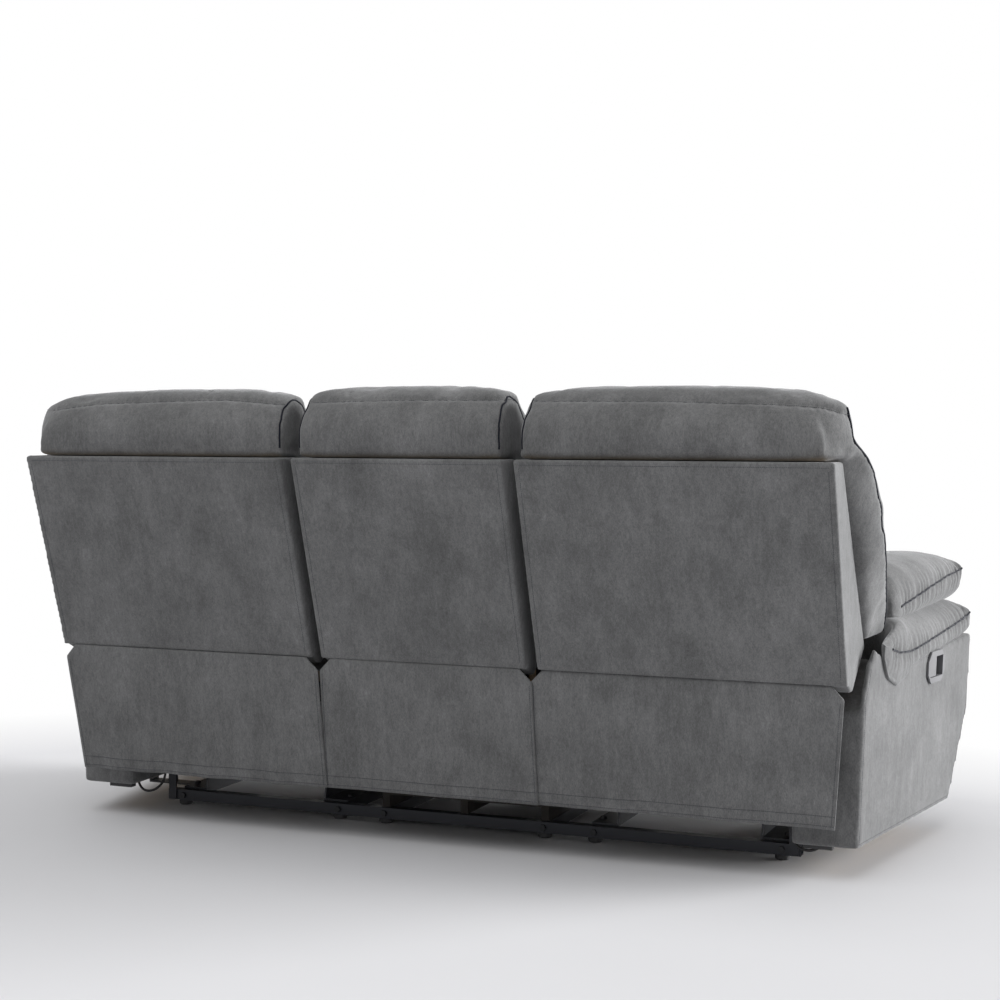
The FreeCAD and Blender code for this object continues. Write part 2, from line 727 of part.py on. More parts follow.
def cable():
    """Straight runs joined by tangent arcs, swept with the cable's round section."""
    points = cable_points()
    edges = []
    radii = []
    here = points[0]
    for before, corner, after in zip(points, points[1:], points[2:]):
        back = (before - corner)
        ahead = (after - corner)
        turn = math.pi - back.getAngle(ahead)
        shorter = min(back.Length, ahead.Length)
        radius = 0.45 * shorter / math.tan(turn / 2)
        trim = 0.45 * shorter
        start = corner + back.normalize() * trim
        end = corner + ahead.normalize() * trim
        bisector = (back + ahead).normalize()
        middle = corner + bisector * (radius / math.cos(turn / 2) - radius)
        edges.append(Part.LineSegment(here, start).toShape())
        edges.append(Part.Arc(start, middle, end).toShape())
        radii.append(round(radius, 1))
        here = end
    edges.append(Part.LineSegment(here, points[-1]).toShape())
    path = Part.Wire(edges)
    circle = Part.makeCircle(CABLE_DIAMETER / 2, points[0], points[1] - points[0])
    tube = path.makePipeShell([Part.Wire([circle])], True, False)
    section = math.pi * CABLE_DIAMETER ** 2 / 4
    print("cable radii", radii, "length", round(path.Length, 1))
    print("cable volume", round(tube.Volume), "section times length", round(section * path.Length))
    return tube


# Seats


def seat_cushion(x0, x1):
    """Seat cushion: crowned top, rounded nose and sides drawn in."""
    base, top = SEAT_BOTTOM_Z, SEAT_BOTTOM_Z + SEAT_THICKNESS
    middle_y = (SEAT_FRONT_Y + SEAT_REAR_Y) / 2

    def section(x, bulge, inset):
        front = SEAT_FRONT_Y + inset
        rear = SEAT_REAR_Y - inset
        return wire_x(x, (rear, base), [
            ((front, base),),
            ((front - SEAT_NOSE * bulge - 1, (base + top) / 2), (front + 2, top - 8 - inset)),
            ((middle_y, top - inset + SEAT_CROWN * bulge), (rear - 8, top - 4 - inset)),
            ((rear, base + 20),),
            ((rear, base),),
        ])

    width = x1 - x0
    sections = [
        section(x0, 0.2, 10), section(x0 + 0.08 * width, 0.75, 0), section(x0 + width / 2, 1, 0),
        section(x1 - 0.08 * width, 0.75, 0), section(x1, 0.2, 10),
    ]
    return Part.makeLoft(sections, True)


def deck(x0, x1):
    """Timber seat frame with two slats between its long sides."""
    z0, z1 = DECK_BOTTOM_Z, SEAT_BOTTOM_Z
    y0, y1 = DECK_FRONT_Y, SEAT_REAR_Y
    frame = box(x0, x1, y0, y1, z0, z1)
    clear = (x1 - x0 - 2 * DECK_MEMBER - 2 * DECK_SLAT) / 3
    for number in range(3):
        start = x0 + DECK_MEMBER + number * (clear + DECK_SLAT)
        frame = frame.cut(
            box(start, start + clear, y0 + DECK_MEMBER, y1 - DECK_MEMBER, z0 - 1, z1 + 1)
        )
    return frame


def zigzag_spring(x, y0, y1, z):
    """One sinuous seat spring: half loops joined by straight runs, from front to rear."""
    half = SPRING_PITCH / 4
    reach = SPRING_WIDTH / 2 - half
    turns = int((y1 - y0) // (SPRING_PITCH / 2))
    start_y = (y0 + y1 - turns * SPRING_PITCH / 2) / 2
    edges = []
    side = 1
    here = Vector(x - reach, start_y, z)
    for number in range(turns):
        across = Vector(x + side * reach, here.y, z)
        edges.append(Part.LineSegment(here, across).toShape())
        beyond = Vector(x + side * (reach + half), here.y + half, z)
        here = Vector(x + side * reach, here.y + 2 * half, z)
        edges.append(Part.Arc(across, beyond, here).toShape())
        side = -side
    edges.append(Part.LineSegment(here, Vector(x + side * reach, here.y, z)).toShape())
    path = Part.Wire(edges)
    circle = Part.makeCircle(SPRING_DIAMETER / 2, path.Vertexes[0].Point, Vector(1, 0, 0))
    return path.makePipeShell([Part.Wire([circle])], True, False)


def seat_springs(x0, x1):
    """Sinuous springs in the deck's openings, each on two clips at the frame."""
    clear = (x1 - x0 - 2 * DECK_MEMBER - 2 * DECK_SLAT) / 3
    y0, y1 = DECK_FRONT_Y + DECK_MEMBER, SEAT_REAR_Y - DECK_MEMBER
    z = SEAT_BOTTOM_Z - SPRING_DIAMETER
    shapes = []
    for number in range(SPRINGS_PER_SEAT):
        middle = x0 + DECK_MEMBER + number * (clear + DECK_SLAT) + clear / 2
        spring = zigzag_spring(middle, y0 + 8, y1 - 8, z)
        box_ = spring.BoundBox
        front = box(middle - 12, middle + 12, y0, box_.YMin + SPRING_DIAMETER, z - 6, z - 2)
        rear = box(middle - 12, middle + 12, box_.YMax - SPRING_DIAMETER, y1, z - 6, z - 2)
        shapes += [spring, front, rear]
    return group(shapes)


# Mechanism of the left end seat

SWING_TOP_SHIFT = SWING_LENGTH * math.sin(math.radians(SWING_LEAN))
SWING_TOP_Z = SWING_PIVOT_Z + SWING_LENGTH * math.cos(math.radians(SWING_LEAN))
FOOT_PIVOT = (FOOT_PIVOT_Y, FOOT_PIVOT_Z)
KNEE = pivot_on(FOOT_PIVOT, LOWER_LINK, LOWER_LINK_ANGLE)
TOE = pivot_on(KNEE, UPPER_LINK, UPPER_LINK_ANGLE)
RECLINE_PIVOT = (RECLINE_Y, RECLINE_Z)


def swing_links(pivot_y):
    """Pair of swing links from the base brackets to the seat carriage."""
    low = (pivot_y, SWING_PIVOT_Z)
    high = (pivot_y + SWING_TOP_SHIFT, SWING_TOP_Z)
    shapes = []
    for side in (-1, 1):
        x0, x1 = plate_span(LINK_PLANE, side)
        shapes.append(join(
            link_plate(low, high, x0, x1),
            stud(low, LINK_PLANE, BRACKET_PLANE, side),
            stud(high, LINK_PLANE, CARRIAGE_PLANE, side),
        ))
    return group(shapes)


def carriage():
    """Welded seat carriage: two side plates with flanges, and two cross tubes."""
    bottom, top = CARRIAGE_BOTTOM_Z, DECK_BOTTOM_Z
    front = FOOT_PIVOT_Y - 20
    rear = SWING_REAR_Y + SWING_TOP_SHIFT + 26
    pivot_y, pivot_z = RECLINE_PIVOT
    outline = [
        (front, bottom + 8), (front + 24, bottom), (rear, bottom), (pivot_y + 6, pivot_z - 20),
        (pivot_y + 20, pivot_z), (pivot_y + 6, pivot_z + 20), (pivot_y - 16, pivot_z + 20),
        (SEAT_REAR_Y + 30, top), (front, top),
    ]
    shapes = []
    for side in (-1, 1):
        x0, x1 = plate_span(CARRIAGE_PLANE, side)
        plate = prism_x(outline, x0, x1)
        inner = sorted((MECH_X + side * (CARRIAGE_PLANE - CARRIAGE_FLANGE), x0, x1))
        flange = box(inner[0], inner[-1], DECK_FRONT_Y + 30, SEAT_REAR_Y, top - PLATE, top)
        for pivot, clearance in (
            ((SWING_REAR_Y + SWING_TOP_SHIFT, SWING_TOP_Z), STUD_CLEARANCE),
            ((SWING_FRONT_Y + SWING_TOP_SHIFT, SWING_TOP_Z), OPEN_PIVOT_CLEARANCE),
            (FOOT_PIVOT, STUD_CLEARANCE),
            (RECLINE_PIVOT, STUD_CLEARANCE),
        ):
            plate = plate.cut(stud_hole(pivot, CARRIAGE_PLANE, side, clearance))
        shapes.append(join(plate, flange))
    inner_x = CARRIAGE_PLANE - PLATE / 2
    for y in (SWING_FRONT_Y - 40, SEAT_REAR_Y + 30):
        shapes.append(
            rod_x(y, top - 24, CROSS_TUBE_DIAMETER, MECH_X - inner_x, MECH_X + inner_x)
        )
    return join(*shapes)


def foot_lower_links():
    shapes = []
    for side in (-1, 1):
        x0, x1 = plate_span(LOWER_PLANE, side)
        shapes.append(join(
            link_plate(FOOT_PIVOT, KNEE, x0, x1),
            stud(FOOT_PIVOT, LOWER_PLANE, CARRIAGE_PLANE, side),
            stud(KNEE, LOWER_PLANE, UPPER_PLANE, side),
        ))
    return group(shapes)


def foot_upper_links():
    shapes = []
    for side in (-1, 1):
        x0, x1 = plate_span(UPPER_PLANE, side)
        plate = link_plate(KNEE, TOE, x0, x1).cut(stud_hole(KNEE, UPPER_PLANE, side))
        shapes.append(join(plate, stud(TOE, UPPER_PLANE, BOARD_PLANE, side)))
    return group(shapes)


def footboard(x0, x1):
    """Footrest board with the two plates that hang it on the upper links."""
    top = BOARD_BOTTOM_Z + BOARD_HEIGHT
    board = box(x0, x1, BOARD_REAR_Y - BOARD_THICKNESS, BOARD_REAR_Y, BOARD_BOTTOM_Z, top)
    shapes = [board]
    for side in (-1, 1):
        p0, p1 = plate_span(BOARD_PLANE, side)
        half = LINK_WIDTH / 2
        ear = prism_x([
            (BOARD_REAR_Y, TOE[1] + half), (TOE[0], TOE[1] + half), (TOE[0], TOE[1] - half),
            (BOARD_REAR_Y, TOE[1] - 3 * half),
        ], p0, p1)
        ear = join(ear, rod_x(*TOE, LINK_WIDTH, p0, p1))
        shapes.append(ear.cut(stud_hole(TOE, BOARD_PLANE, side)))
    return join(*shapes)


def foot_cushion(x0, x1):
    """Padded front of the footrest board, and of the fixed panel in the middle."""
    rear = BOARD_REAR_Y - BOARD_THICKNESS
    z0, z1 = BOARD_BOTTOM_Z, BOARD_BOTTOM_Z + BOARD_HEIGHT

    def section(x, bulge, inset):
        front = rear - FOOT_CUSHION_THICKNESS + 3 * inset
        low, high = z0 + inset, z1 - inset
        return wire_x(x, (rear, low), [
            ((rear, high),),
            ((front + 22, high),),
            ((front - FOOT_CUSHION_CROWN * bulge, (low + high) / 2), (front + 22, low)),
            ((rear, low),),
        ])

    width = x1 - x0
    return Part.makeLoft([
        section(x0, 0.2, 5), section(x0 + 0.08 * width, 0.8, 0), section(x0 + width / 2, 1, 0),
        section(x1 - 0.08 * width, 0.8, 0), section(x1, 0.2, 5),
    ], True)


# Backs


def shell_outline():
    tip_y = rear_y(SHELL_TIP_Z) - SHELL_TIP_DEPTH
    seam_y = rear_y(BACK_SEAM_Z)
    return [
        (seam_y, BACK_SEAM_Z), (BACK_TOP_Y, BACK_TOP_Z), (board_y(BACK_TOP_Z), BACK_TOP_Z),
        (board_y(SHELL_LOW_Z), SHELL_LOW_Z), (tip_y, SHELL_TIP_Z),
        (seam_y - SHELL_WALL, BACK_SEAM_Z),
    ]


def rib_outline():
    """Room for the back's frame inside its shell."""
    wall = SHELL_WALL / math.cos(math.radians(BACK_LEAN)) + COVER_CLEARANCE
    tip_y = rear_y(SHELL_TIP_Z) - SHELL_TIP_DEPTH
    top = BACK_TOP_Z - 4
    low = BACK_SEAM_Z + SHELL_WALL + 6
    return [
        (rear_y(low) - wall, low), (rear_y(top) - wall, top),
        (board_y(top) + COVER_CLEARANCE, top),
        (board_y(SHELL_LOW_Z) + COVER_CLEARANCE, SHELL_LOW_Z),
        (tip_y - 4, SHELL_TIP_Z + SHELL_WALL + 6),
    ]


def back_shell(x0, x1):
    """Outer back: a rear panel with a wing at each side and a turned-in lower edge."""
    body = prism_x(shell_outline(), x0, x1)
    wall = SHELL_WALL / math.cos(math.radians(BACK_LEAN))
    low = BACK_SEAM_Z + SHELL_WALL
    tip_y = rear_y(SHELL_TIP_Z) - SHELL_TIP_DEPTH
    reach = 100.0
    inner = [
        (rear_y(low) - wall, low), (rear_y(BACK_TOP_Z + reach) - wall, BACK_TOP_Z + reach),
        (-reach, BACK_TOP_Z + reach), (-reach, SHELL_TIP_Z - reach),
        (tip_y - 2, SHELL_TIP_Z - reach), (tip_y - 2, SHELL_TIP_Z + SHELL_WALL),
    ]
    return body.cut(prism_x(inner, x0 + SHELL_WALL, x1 - SHELL_WALL))


def back_frame(x0, x1, hinge_planes):
    """Timber ribs and rails of a back, with its steel hinge plates."""
    wall = SHELL_WALL + COVER_CLEARANCE
    left, right = x0 + wall, x1 - wall
    outline = rib_outline()
    step = (right - left - RIB_THICKNESS) / (RIB_COUNT - 1)
    shapes = []
    for number in range(RIB_COUNT):
        start = left + number * step
        shapes.append(prism_x(outline, start, start + RIB_THICKNESS))
    full = prism_x(outline, left, right)
    extent = full.BoundBox
    front, rear = extent.YMin - 1, extent.YMax + 1
    shapes.append(full.common(
        box(left, right, front, rear, BACK_TOP_Z - RAIL_DEPTH, BACK_TOP_Z)
    ))
    low = SHELL_LOW_Z
    shapes.append(full.common(
        box(left, right, board_y(low), board_y(low) + RAIL_DEPTH + 40, low, low + RAIL_DEPTH)
    ))
    middle_z = (BACK_TOP_Z + low) / 2
    shapes.append(full.common(
        box(left, right, front, board_y(middle_z) + RAIL_DEPTH, middle_z - 20, middle_z + 20)
    ))
    for x in hinge_planes:
        pivot_y, pivot_z = RECLINE_PIVOT
        ear = prism_x([
            (pivot_y - 16, pivot_z), (pivot_y + 16, pivot_z),
            (pivot_y + 30, low + RAIL_DEPTH - 6), (pivot_y - 12, low + RAIL_DEPTH - 6),
        ], x - PLATE / 2, x + PLATE / 2)
        shapes.append(join(ear, rod_x(*RECLINE_PIVOT, 32, x - PLATE / 2, x + PLATE / 2)))
    return join(*shapes)


def back_stud(side):
    """Hinge stud of a reclining back, from its plate out through the carriage."""
    return stud(RECLINE_PIVOT, LOWER_PLANE, CARRIAGE_PLANE, side)


def lower_section(x, bulge, inset):
    """Side view of the lower back cushion at x."""
    divider_y = BACK_DIVIDER_Y - 8 * bulge + inset
    foot_y = BACK_FOOT_Y - 6 * bulge + inset
    foot_z = BACK_FOOT_Z + inset
    rear_z = SHELL_LOW_Z + 20 + inset
    middle_y = (divider_y + foot_y) / 2 + inset - LUMBAR_SWELL - (LUMBAR_BULGE + 10) * bulge
    return wire_x(x, (board_y(rear_z), rear_z), [
        ((board_y(BACK_DIVIDER_Z), BACK_DIVIDER_Z),),
        ((divider_y, BACK_DIVIDER_Z),),
        ((middle_y, LUMBAR_MIDDLE_Z + inset / 2), (foot_y, foot_z)),
        ((board_y(rear_z), rear_z),),
    ])


def back_cushion(x0, x1, neck0, neck1, overhang0, overhang1):
    """Lower back cushion: it swells over the lumbar and has a neck down to the seat."""
    width = x1 - x0
    left, right = x0 - overhang0, x1 + overhang1
    sections = [
        lower_section(left, 0, 8), lower_section(left + 10, 0.1, 0),
        lower_section(x0 + 0.12 * width, 0.85, 0), lower_section((x0 + x1) / 2, 1, 0),
        lower_section(x1 - 0.12 * width, 0.85, 0), lower_section(right - 10, 0.1, 0),
        lower_section(right, 0, 8),
    ]
    body = Part.makeLoft(sections, True)
    front = NECK_FRONT_Y
    neck = prism_x([
        (front, BACK_FOOT_Z + 8), (front + 16, NECK_BOTTOM_Z + 12), (front + 30, NECK_BOTTOM_Z),
        (front + NECK_DEPTH, NECK_BOTTOM_Z), (board_y(SHELL_LOW_Z) - 0.5, SHELL_LOW_Z),
        (board_y(BACK_FOOT_Z) - 0.5, BACK_FOOT_Z + 8),
    ], neck0, neck1)
    return join(body, neck)


def head_section(x, bulge, drop, end):
    """Side view of the head roll at x: end is 1 at its two ends, where it is set back."""
    setback = HEAD_END_SETBACK * end
    divider_y = BACK_DIVIDER_Y - 8 * bulge + setback
    top = BACK_TOTAL_Z - drop
    rear = BACK_TOP_Y - setback - HEAD_REAR_INSET
    shelf = BACK_TOP_Z + COVER_CLEARANCE
    front_y = HEAD_FRONT_Y + HEAD_END_RECESS * end - HEAD_BULGE * bulge - 20
    foot_z = BACK_DIVIDER_Z + COVER_CLEARANCE
    return wire_x(x, (divider_y, foot_z), [
        ((board_y(BACK_DIVIDER_Z), foot_z),),
        ((board_y(shelf), shelf),),
        ((rear - 4, shelf),),
        ((rear + 6, (shelf + top) / 2), (rear - 22, top - 34)),
        ((rear - 62, top), (rear - 122, top - 16)),
        ((front_y, top - 92), (divider_y, foot_z)),
    ])


def head_roll(x0, x1, drop0, drop1):
    """Head roll: its ends drop, and are set back, from a crowned middle."""
    width = x1 - x0
    sections = []
    for share, bulge, fall, end in (
        (0, 0, 1, 1), (0.05, 0.5, 0.55, 0.35), (0.2, 0.9, 0.12, 0), (0.5, 1, 0, 0),
        (0.8, 0.9, 0.12, 0), (0.95, 0.5, 0.55, 0.35), (1, 0, 1, 1),
    ):
        drop = fall * (drop0 if share < 0.5 else drop1)
        sections.append(head_section(x0 + 2 + share * (width - 4), bulge, drop, end))
    return Part.makeLoft(sections, True)


# Rear skirts


def skirt_wire(x0, x1, y, z, fold, waves):
    """Closed outline of a skirt at one height: soft waves along X, one cloth thick."""
    step = (x1 - x0) / waves
    edges = []
    for number in range(waves):
        here = x0 + number * step
        swell = fold if number % 2 else -fold * 0.4
        edges.append(Part.Arc(
            Vector(here, y, z), Vector(here + step / 2, y + swell, z), Vector(here + step, y, z)
        ).toShape())
    inner = y - SKIRT_THICKNESS
    edges.append(Part.LineSegment(Vector(x1, y, z), Vector(x1, inner, z)).toShape())
    for number in reversed(range(waves)):
        here = x0 + number * step
        swell = fold if number % 2 else -fold * 0.4
        edges.append(Part.Arc(
            Vector(here + step, inner, z), Vector(here + step / 2, inner + swell, z),
            Vector(here, inner, z),
        ).toShape())
    edges.append(Part.LineSegment(Vector(x0, inner, z), Vector(x0, y, z)).toShape())
    return Part.Wire(edges)


def skirt(top0, top1, hem0, hem1, fold, waves):
    """Rear flap that hangs from the lower seam of a back's shell."""
    y = rear_y(BACK_SEAM_Z)
    top, hem = BACK_SEAM_Z - COVER_CLEARANCE, SKIRT_HEM_Z
    middle = (top + hem) / 2
    return Part.makeLoft([
        skirt_wire(top0, top1, y - 1, top, 0.4, waves),
        skirt_wire((top0 + hem0) / 2, (top1 + hem1) / 2, y - 1 - SKIRT_SWING / 2, middle,
                   fold * 0.7, waves),
        skirt_wire(hem0, hem1, y - 1 - SKIRT_SWING, hem, fold, waves),
    ], True)


# Centre seat

CENTRE_BOARD = 18.0


def centre_frame():
    """Box of boards that carries the fixed middle seat on its two side rails."""
    z0, z1 = RAIL_TOP, DECK_BOTTOM_Z
    front, rear = BOARD_REAR_Y, REAR_RAIL_Y
    half = CENTRE_BOARD / 2
    pivot_y = RECLINE_Y
    shapes = []
    for x in (-CENTRE_RAIL_X, 0, CENTRE_RAIL_X):
        outline = [(front, z0), (rear, z0), (rear, z1), (front, z1)]
        if x:
            ear_y = NECK_FRONT_Y + NECK_DEPTH + 8
            outline[2:3] = [(rear, z1 - 60), (pivot_y + 20, z1), (pivot_y + 20, SHELL_LOW_Z - 60),
                            (ear_y, SHELL_LOW_Z - 60), (ear_y, z1)]
        shapes.append(prism_x(outline, x - half, x + half))
    reach = CENTRE_HALF - 10
    shapes.append(box(-reach, reach, front - BOARD_THICKNESS, front, BOARD_BOTTOM_Z, z1))
    shapes.append(box(-CENTRE_RAIL_X, CENTRE_RAIL_X, rear - CENTRE_BOARD, rear, z0 + 30, z1))
    shapes.append(deck(-reach, reach))
    return join(*shapes)


def centre_back_frame():
    x = CENTRE_RAIL_X + CENTRE_BOARD / 2 + PLATE / 2
    return back_frame(-BACK_HALF, BACK_HALF, (-x, x))


# Nodes


def end_seat_nodes():
    """Every node of the left end seat. The right end seat mirrors them."""
    hinge = [MECH_X + side * LOWER_PLANE for side in (-1, 1)]
    frame = back_frame(BACK_IN, BACK_OUT, hinge)
    frame = join(frame, back_stud(-1), back_stud(1))
    seat0, seat1 = END_IN, END_OUT
    return {
        "rear_swing_links": swing_links(SWING_REAR_Y),
        "front_swing_links": swing_links(SWING_FRONT_Y),
        "seat_carriage": carriage(),
        "seat_frame": deck(seat0 + 6, seat1 - 6),
        "seat_springs": seat_springs(seat0 + 6, seat1 - 6),
        "seat_cushion": seat_cushion(seat0, seat1),
        "footrest_lower_links": foot_lower_links(),
        "footrest_upper_links": foot_upper_links(),
        "footrest_board": footboard(seat0 + 4, seat1 - 4),
        "footrest_cushion": foot_cushion(seat0, seat1),
        "back_frame": frame,
        "back_cushion": back_cushion(
            BACK_IN, BACK_OUT, seat0 + NECK_INSET, seat1 - NECK_INSET, 0, WING_OVERHANG
        ),
        "head_roll": head_roll(BACK_IN, BACK_OUT, HEAD_INNER_DROP, HEAD_OUTER_DROP),
        "back_shell": back_shell(BACK_IN, BACK_OUT),
        "rear_skirt": skirt(
            BACK_IN - SKIRT_LAP, BACK_OUT - SKIRT_LAP, SKIRT_EDGE + SKIRT_GAP,
            BACK_OUT - SKIRT_TAPER, SKIRT_FOLD, 6,
        ),
    }


def arm_nodes():
    """Every node of the left arm. The right arm mirrors them."""
    return {
        "arm_frame": arm_frame(),
        "arm_cover": arm_cover(),
        "arm_lower_pillow": lower_pillow(),
        "arm_upper_pillow": upper_pillow(),
        "handle_bezel": placed_on_side(bezel()),
        "handle_lever": placed_on_side(handle_lever()),
        "release_cable": cable(),
    }


def centre_nodes():
    reach = CENTRE_HALF
    return {
        "centre_seat_frame": centre_frame(),
        "centre_seat_springs": seat_springs(10 - reach, reach - 10),
        "centre_seat_cushion": seat_cushion(-reach, reach),
        "centre_front_panel": foot_cushion(-reach, reach),
        "centre_back_frame": centre_back_frame(),
        "centre_back_cushion": back_cushion(
            -BACK_HALF, BACK_HALF, NECK_INSET - BACK_HALF, BACK_HALF - NECK_INSET, 0, 0
        ),
        "centre_head_roll": head_roll(
            -BACK_HALF, BACK_HALF, HEAD_INNER_DROP, HEAD_INNER_DROP
        ),
        "centre_back_shell": back_shell(-BACK_HALF, BACK_HALF),
        "centre_rear_skirt": skirt(
            -BACK_HALF, BACK_HALF, -SKIRT_EDGE, SKIRT_EDGE, SKIRT_FOLD / 2, 4
        ),
    }


def base_nodes():
    return {
        "base_rear_rail": rear_rail(),
        "base_front_rail": tube_x(FRONT_RAIL_Y),
        "base_side_rails": group([side_rail(x) for x in SIDE_RAIL_PLACES]),
        "base_glides": group([glides(), arm_pads()]),
        "base_brackets": base_brackets(),
        "base_arm_supports": arm_supports(),
        "base_bolts": base_bolts(),
    }


def all_nodes():
    nodes = base_nodes()
    nodes.update(centre_nodes())
    for name, shape in {**arm_nodes(), **end_seat_nodes()}.items():
        nodes["left_" + name] = shape
        nodes["right_" + name] = mirrored(shape)
    return nodes


def main():
    os.makedirs("parts", exist_ok=True)
    nodes = all_nodes()
    extent = FreeCAD.BoundBox()
    for name, shape in nodes.items():
        extent.add(shape.optimalBoundingBox(False, False))
        if not shape.isValid():
            print("not valid:", name)
        shape.exportStep("parts/" + name + ".step")
    print(len(nodes), "nodes")
    print("X", round(extent.XMin, 2), round(extent.XMax, 2))
    print("Y", round(extent.YMin, 2), round(extent.YMax, 2))
    print("Z", round(extent.ZMin, 2), round(extent.ZMax, 2))


main()
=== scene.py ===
import json
import logging
import math
from dataclasses import dataclass
from enum import Enum
from typing import Callable, Optional, Sequence

import bmesh
import bpy
import numpy as np
from mathutils import Euler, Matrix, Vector
from mathutils.bvhtree import BVHTree
from mathutils.kdtree import KDTree


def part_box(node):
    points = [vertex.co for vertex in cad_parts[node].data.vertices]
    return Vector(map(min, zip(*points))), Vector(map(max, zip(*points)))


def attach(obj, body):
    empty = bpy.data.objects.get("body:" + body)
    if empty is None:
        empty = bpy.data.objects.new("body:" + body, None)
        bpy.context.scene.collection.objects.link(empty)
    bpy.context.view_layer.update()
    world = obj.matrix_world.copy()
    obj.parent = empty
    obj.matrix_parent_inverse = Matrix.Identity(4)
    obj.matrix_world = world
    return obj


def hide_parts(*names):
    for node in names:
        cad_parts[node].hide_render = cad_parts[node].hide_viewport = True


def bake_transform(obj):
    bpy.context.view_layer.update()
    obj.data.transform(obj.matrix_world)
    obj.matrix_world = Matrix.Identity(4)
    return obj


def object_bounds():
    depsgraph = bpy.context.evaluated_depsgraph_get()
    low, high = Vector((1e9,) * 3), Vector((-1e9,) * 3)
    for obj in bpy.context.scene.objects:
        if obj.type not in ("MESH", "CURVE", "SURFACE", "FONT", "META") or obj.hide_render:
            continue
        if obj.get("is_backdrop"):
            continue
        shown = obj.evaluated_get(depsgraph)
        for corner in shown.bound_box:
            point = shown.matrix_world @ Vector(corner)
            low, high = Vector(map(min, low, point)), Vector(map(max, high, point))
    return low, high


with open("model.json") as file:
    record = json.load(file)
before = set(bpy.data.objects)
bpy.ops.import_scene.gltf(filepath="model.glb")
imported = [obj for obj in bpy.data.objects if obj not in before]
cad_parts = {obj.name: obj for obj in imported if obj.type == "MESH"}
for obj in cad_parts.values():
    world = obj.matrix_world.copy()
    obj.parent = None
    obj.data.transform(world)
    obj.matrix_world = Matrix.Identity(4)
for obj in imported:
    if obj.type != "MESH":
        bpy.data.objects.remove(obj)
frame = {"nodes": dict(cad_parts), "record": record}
CAD_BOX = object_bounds()
LOG = logging.getLogger("sofa")

Point = tuple[float, float, float]
Pixel = tuple[float, float]

PICTURE = 1000
CLOTH_FRAMES = 20
START_INSET = 0.35
SEAM_END = 0.02


class Side(Enum):
    """The sitter's left is +X."""

    LEFT = 1
    RIGHT = -1

    @property
    def word(self) -> str:
        """Prefix of this side's names."""
        return self.name.lower()


# Finishes


class NodeSheet:
    """A material's node tree, written a node at a time."""

    def __init__(self, name: str) -> None:
        """Start an empty material called name."""
        self.material = bpy.data.materials.new(name)
        self.material.use_nodes = True
        self.tree = self.material.node_tree
        self.shader = self.tree.nodes["Principled BSDF"]
        self.place = self.tree.nodes.new("ShaderNodeTexCoord").outputs["Object"]

    def add(self, kind: str, values: Optional[dict] = None, **settings: object) -> bpy.types.Node:
        """Add one node.

        Args:
            kind: the node's type, without its ShaderNode prefix.
            values: socket values or links by socket name or number.
            settings: the node's own properties.

        Returns:
            The new node.
        """
        node = self.tree.nodes.new("ShaderNode" + kind)
        for key, value in settings.items():
            setattr(node, key, value)
        for key, value in (values or {}).items():
            if isinstance(value, bpy.types.NodeSocket):
                self.tree.links.new(value, node.inputs[key])
            else:
                node.inputs[key].default_value = value
        return node

    def noise(self, scale: float, detail: float = 3,
              stretch: Point = (1, 1, 1)) -> bpy.types.NodeSocket:
        """Noise of a size in the object's own metres.

        Args:
            scale: features in a metre.
            detail: octaves.
            stretch: scale along each axis.

        Returns:
            The noise's factor.
        """
        turned = self.add("Mapping", {"Vector": self.place, "Scale": stretch})
        return self.add("TexNoise", {
            "Vector": turned.outputs[0], "Scale": scale, "Detail": detail, "Roughness": 0.6,
        }).outputs[0]

    def between(self, factor: bpy.types.NodeSocket, low: float, high: float) -> bpy.types.NodeSocket:
        """Spread a factor's middle over low to high.

        Args:
            factor: value from 0 to 1.
            low: result where it is low.
            high: result where it is high.

        Returns:
            The spread value.
        """
        return self.add("MapRange", {0: factor, 1: 0.3, 2: 0.7, 3: low, 4: high}).outputs[0]

    def times(self, a: bpy.types.NodeSocket, b: bpy.types.NodeSocket) -> bpy.types.NodeSocket:
        """Product of two values."""
        return self.add("Math", {0: a, 1: b}, operation="MULTIPLY").outputs[0]

    def tint(self, colour: Point, shade: bpy.types.NodeSocket) -> None:
        """Base colour times a shade."""
        scaled = self.add("VectorMath", {0: colour, 3: shade}, operation="SCALE")
        self.tree.links.new(scaled.outputs[0], self.shader.inputs["Base Color"])

    def bump(self, height: bpy.types.NodeSocket, strength: float, depth: float) -> None:
        """Raise the surface by a height."""
        node = self.add("Bump", {"Height": height, "Strength": strength, "Distance": depth})
        self.tree.links.new(node.outputs["Normal"], self.shader.inputs["Normal"])

    def set(self, **values: object) -> None:
        """Constants on the shader's own sockets, named with _ for a space."""
        for key, value in values.items():
            self.shader.inputs[key.replace("_", " ")].default_value = value


